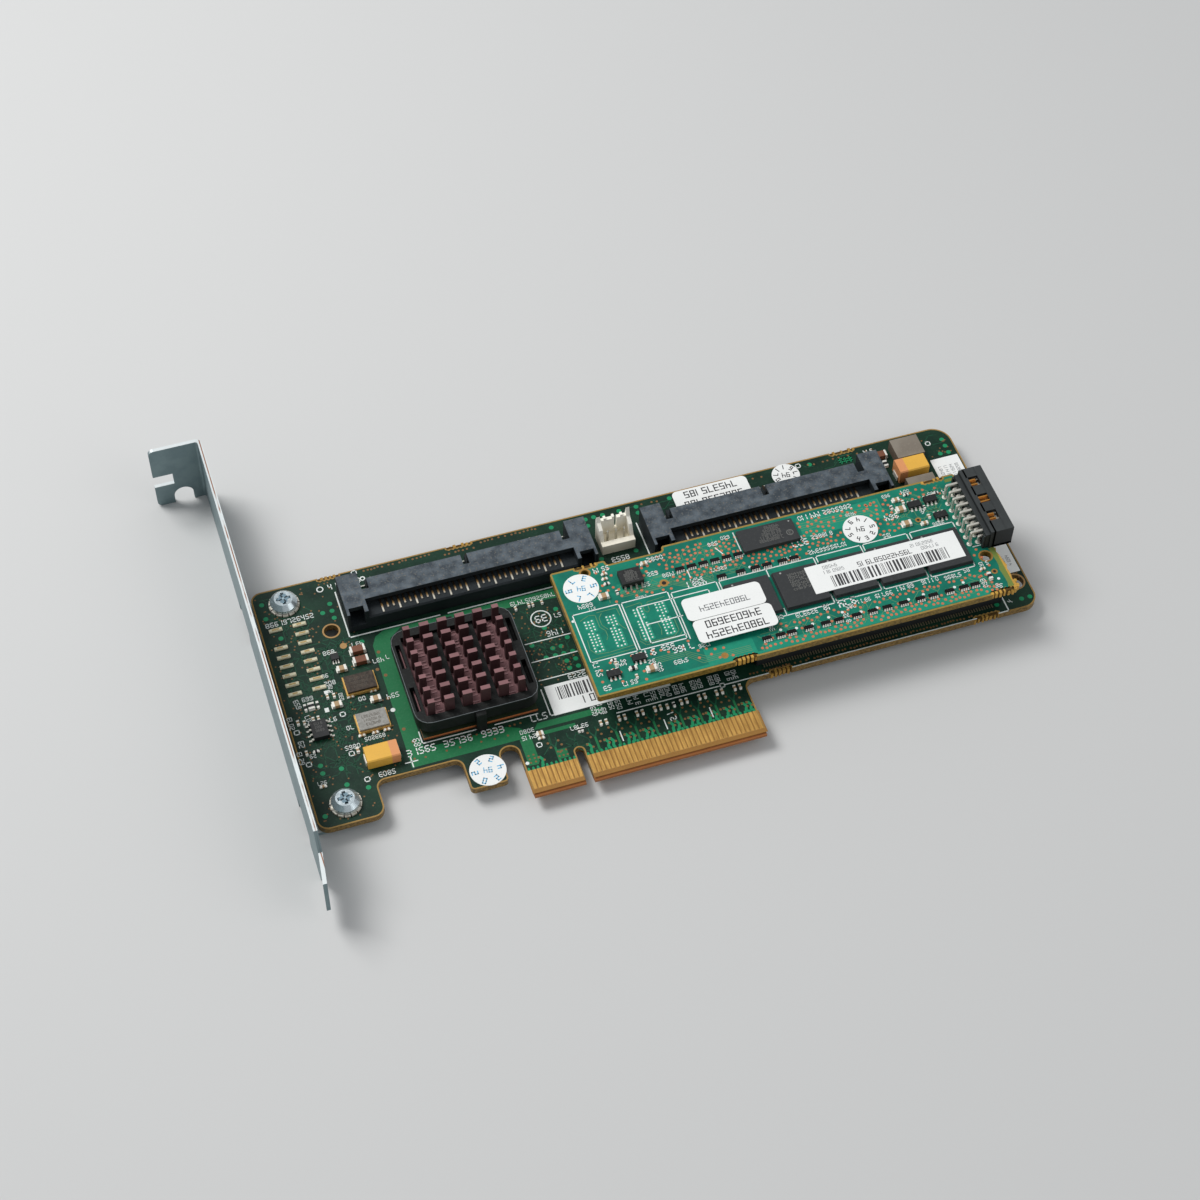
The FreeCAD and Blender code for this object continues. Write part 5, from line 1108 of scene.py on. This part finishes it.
# ---- Oscillators ----
# Ceramic bases with a gold-plated seam ring and a welded metal lid; the rear lid is darkened,
# the front one is plain grey metal, and both carry faint laser figures.
def lid_metal(brush):
    rear = brush.ramp(brush.y, 33.0, 33.2)
    blotch = brush.ramp(brush.noise(0.7, 4.0), 0.35, 0.65)
    return brush.mix(rear, brush.mix(blotch, (138, 136, 130), (158, 156, 150)),
                     brush.mix(blotch, (46, 38, 31), (74, 62, 51)))


dress(finish("seam_gold", (222, 176, 96), 0.38, 0.45, 0.5, 0.3, 0.15, 0.05), "oscillator_bases")
dress(finish("lid_metal", (140, 136, 128), 0.42, 0.35, 0.5, 0.2, 0.15, 0.10, paint=lid_metal),
      "oscillator_lids")
figures = Stock()
mark_on(figures, "oscillator_lids")
oscillator_x, oscillator_ys, line_pitch = -39.5, (38.2, 28.0), 1.05
for y in oscillator_ys:
    for k in range(3):
        figures.numerals(oscillator_x, y + (1 - k) * line_pitch, 8 - k, 0.62, 180, int(y) + k, 0.13)
piece("oscillator_figures", figures, finish("faint_figures", (92, 84, 74), 0.5, 0.3), "oscillator_lid")

# ---- Capacitors, inductors and other two-ended parts ----
# Moulded yellow tantalum blocks with a paler polarity end, pressed powder inductors, and tan or
# brown ceramic bodies with tinned ends.
pale_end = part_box("tantalum_capacitor_right")[0].x * 1000 + 1.9


def tantalum_paint(brush):
    """Orange-yellow, with one end paler on each capacitor."""
    left = brush.maths("SUBTRACT", brush.ramp(brush.x, -38.2, -38.1), brush.ramp(brush.x, 0.0, 1.0))
    right = brush.times(brush.ramp(brush.x, 50.0, 51.0), brush.ramp(brush.x, pale_end + 0.1, pale_end))
    return brush.mix(brush.plus(left, right), (234, 180, 72), (226, 154, 100))


dress(finish("tantalum_epoxy", (226, 174, 72), 0.5, 0.0, 0.4, 0.2, 0.08, 0.05, paint=tantalum_paint),
      "tantalum_capacitor_left", "tantalum_capacitor_right")
dress(solder, "tantalum_terminals")
# The film paints the inductors' tops a lighter grey: a painted sheen.
dress(finish("inductor_powder_top_sheen", (96, 84, 72), 0.7, 0.1, 0.3, 0.25, 0.25, 0.2, film=0.85, dust_and_light=(146, 138, 126),
             bump=0.5), "power_inductors")
tan = finish("ceramic_tan", (176, 146, 108), 0.5, 0.0, 0.4, 0.2, 0.15)
brown = finish("ceramic_brown", (122, 76, 54), 0.45, 0.0, 0.4, 0.2, 0.15)
dress(tan, "module_capacitors", "coupling_capacitors", "medium_capacitors", "solder_side_capacitors")
dress(brown, "large_capacitors")
ends, tiny_tan, tiny_dark = Stock(), Stock(), Stock()


def end_caps(low, high, share=0.24, flare=0.05):
    """Tinned ends that wrap a two-ended part, with a little solder at the foot."""
    longer = 0 if high[0] - low[0] >= high[1] - low[1] else 1
    depth = (high[longer] - low[longer]) * share
    spans = [[low[0], high[0]], [low[1], high[1]]]
    for outer, inner, side in ((low[longer], low[longer] + depth, -1),
                               (high[longer], high[longer] - depth, 1)):
        spans[longer] = [inner, outer + side * flare]
        a, b = spans[1 - longer]
        wrap = list(spans)
        wrap[1 - longer] = [a - flare, b + flare]
        ends.box(*wrap, (low[2] - 0.01, high[2] + flare * 0.5))
        spans[longer] = [inner, outer + side * 0.22]
        ends.box(*spans, (low[2] - 0.01, low[2] + 0.16))


for solid in bodies("module_capacitors") + bodies("coupling_capacitors") + bodies("medium_capacitors"):
    end_caps(solid[:3], solid[3:])
for solid in bodies("large_capacitors"):
    end_caps(solid[:3], solid[3:], 0.13, 0.04)
for stock, level, width, depth, places in (
        (tiny_tan, 0.0, 0.5, 1.0, ((-53.3, 32.0), (-51.3, 32.3), (-50.2, 32.3), (-54.7, 24.4), (-47.0, 37.2),
                                   (-45.6, 37.0), (21.2, 12.9))),
        (tiny_tan, 0.0, 1.1, 0.55, ((-42.3, 35.7), (-37.3, 35.8), (-42.5, 25.3), (-39.6, 25.2), (-37.1, 25.2),
                                    (-53.4, 15.3))),
        (tiny_tan, 0.0, 0.45, 0.9, ((-2.0, 47.6), (1.0, 47.6), (1.9, 47.6), (4.0, 47.6))),
        (tiny_tan, 0.0, 0.55, 1.1, ((-54.6, 32.4),)),
        (tiny_tan, 0.0, 0.6, 1.2, ((-44.3, 21.9),)),
        (tiny_tan, 0.0, 1.3, 1.0, ((-6.7, 14.3),)),
        (tiny_tan, 0.0, 1.1, 0.5, ((-6.7, 13.2),)),
        (tiny_dark, 0.0, 0.5, 1.7, ((-52.2, 35.7), (-49.5, 35.7))),
        (tiny_dark, 0.0, 0.45, 0.9, ((1.4, 12.7), (2.1, 12.7))),
        (tiny_dark, 0.0, 1.3, 1.6, ((-50.9, 35.7),)),
        (tiny_dark, 0.0, 1.0, 0.5, ((-52.7, 24.2),)),
        (tiny_dark, 0.0, 0.5, 1.0, ((22.7, 12.9),)),
        (tiny_dark, 0.0, 0.9, 1.6, ((91.0, 61.8),)),
        (tiny_tan, base, 0.5, 0.9, ((15.4, 16.5), (12.2, 21.0), (86.9, 43.7), (90.9, 38.2))),
        (tiny_tan, base, 1.0, 0.5, ((17.3, 44.5), (17.0, 43.2))),
        (tiny_tan, base, 1.3, 0.8, ((26.4, 44.6),)),
        (tiny_tan, base, 1.5, 0.9, ((85.6, 44.7),)),
        (tiny_tan, base, 1.4, 0.8, ((89.2, 36.6),)),
        (tiny_tan, base, 0.9, 0.5, ((96.4, 21.0),)),
        (tiny_dark, base, 0.5, 0.9, ((18.4, 38.9), (83.9, 43.0))),
        (tiny_dark, base, 0.9, 0.5, ((88.4, 45.5), (95.0, 44.0))),
        (tiny_dark, base, 1.0, 0.5, ((17.0, 41.8),)),
        (tiny_dark, base, 1.5, 0.8, ((15.3, 18.7),)),
        (tiny_dark, base, 0.9, 0.45, ((12.0, 22.0),)),
        (tiny_dark, base, 0.8, 1.7, ((97.0, 18.6),)),
        (tiny_dark, base, 0.45, 0.8, ((90.9, 40.9),))):
    rise = 0.42 if min(width, depth) < 0.7 else 0.62
    for x, y in places:
        low, high = (x - width / 2, y - depth / 2, level), (x + width / 2, y + depth / 2, level + rise)
        stock.box((low[0], high[0]), (low[1], high[1]), (level - 0.005, level + rise))
        end_caps(low, high, 0.28, 0.04)
piece("tinned_ends", ends, solder, "tin")
piece("tiny_capacitors", tiny_tan, tan, "ceramic_tan")
piece("tiny_resistors", tiny_dark, dark_epoxy, "chip_black")

# ---- Test header pads ----
# Thick tinned pads for a connector that was never fitted, each with a small tan blob of flux or
# gold in its middle.
pad_skin = finish("tinned_test_pad", (206, 200, 172), 0.4, 0.25, 0.5, 0.2, 0.25, 0.10)
dress(pad_skin, "test_header_pads")
blobs, domes = Stock(0.40, 0.46), Stock()
for x0, y0, z0, x1, y1, z1 in bodies("test_header_pads"):
    domes.box((x0 - 0.02, x1 + 0.02), (y0 - 0.04, y1 + 0.04), (0.0, 0.30))
    domes.box((x0 + 0.10, x1 - 0.10), (y0 + 0.12, y1 - 0.12), (0.25, 0.44))
    x = x0 + dice.uniform(0.3, 1.0)
    blobs.box((x, x + dice.uniform(1.0, 1.7)), (y0 + 0.25, y1 - 0.20))
piece("test_pad_solder", domes, pad_skin, "tin")
piece("pad_flux", blobs, finish("pad_flux", (178, 150, 92), 0.45, 0.1), "gold")

# ---- Paper labels ----
# White stock with plain bars, rules and figures in place of any print, and round stickers with
# pale blue or black figures round their rims.
dress(finish("label_paper", (243, 244, 241), 0.65, 0.0, 0.3, 0.3, 0.03, 0.04, bump=0.05), "board_labels",
      "module_labels")
black, grey, blue = Stock(), Stock(), Stock()
ink_foot, ink_height = 0.02, 0.012


def bars(stock, x0, x1, y0, y1, seed):
    """A made-up row of upright bars of mixed widths."""
    turn = random.Random(seed)
    x = x0
    while x < x1:
        width = turn.choice((0.12, 0.12, 0.2, 0.34, 0.5))
        stock.box((x, min(x + width, x1)), (y0, y1))
        x += width + turn.choice((0.16, 0.22, 0.3, 0.45))


def ring_of_figures(stock, x, y, radius, count, height, seed):
    for i in range(count):
        angle = 360 * i / count
        c, s = math.cos(math.radians(angle)), math.sin(math.radians(angle))
        stock.numerals(x + radius * c, y + radius * s, 1, height, angle + 90, seed + i, 0.2)


for x0, y0, z0, x1, y1, top in bodies("board_labels") + bodies("module_labels"):
    for stock in (black, grey, blue):
        stock.low, stock.high = top - ink_foot, top + ink_height
    wide, deep = x1 - x0, y1 - y0
    x, y = x0 + wide / 2, y0 + deep / 2
    round_sticker = abs(wide - deep) < 0.6
    if round_sticker:
        inked, count, height = (black, 9, 1.0) if x0 > 60 else (blue, 6, 1.25)
        ring_of_figures(inked, x, y, wide * 0.36, count, height, int(x0))
        inked.numerals(x, y, 2, 1.2, 170, 5)
    elif wide > 30:
        bars(black, x0 + 4.6, x1 - 3.4, y0 + 0.6, y0 + 3.7, 3)
        black.numerals(x0 + 17.8, y0 + 4.9, 13, 1.15, 180, 9, 0.15)
        for dx, dy, count in ((5.5, 6.3, 5), (27.0, 6.2, 8), (6.0, 5.0, 7), (28.4, 4.9, 6)):
            grey.numerals(x0 + dx, y0 + dy, count, 0.8, 180, count, 0.12)
    elif wide > 22:
        bars(black, x0 + 2.2, x1 - 1.5, y0 + 3.6, y0 + 7.0, 8)
        black.numerals(x0 + 8.4, y0 + 2.2, 2, 1.7, 180, 2, 0.14)
        black.numerals(x0 + 16.0, y0 + 2.2, 5, 1.7, 180, 6, 0.14)
    elif deep > 20:
        for k in range(4):
            line_x = x0 + 1.3 + k * 1.35
            grey.numerals(line_x, y1 - 4.2, 6, 0.7, 90, k, 0.13)
            grey.numerals(line_x, y0 + 3.4, 5, 0.7, 90, k + 20, 0.13)
        black.box((x0 + 0.8, x0 + 3.4), (y0 + 27.2, y0 + 27.5))
    elif x0 > 40 or y0 < 25:
        black.numerals(x, y0 + deep * 0.74, 9, 1.65, 180, 9 + int(x0))
        black.numerals(x, y0 + deep * 0.27, 10, 1.65, 180, 10 + int(x0))
    else:
        grey.numerals(x, y0 + deep * 0.42, 10, 1.35, 180, 10 + int(x0), 0.15)
piece("label_black_print", black, finish("label_black", (62, 62, 64), 0.7), "paper")
piece("label_grey_print", grey, finish("label_grey", (128, 130, 132), 0.7), "paper")
piece("label_blue_print", blue, finish("label_blue", (112, 186, 224), 0.7), "paper")
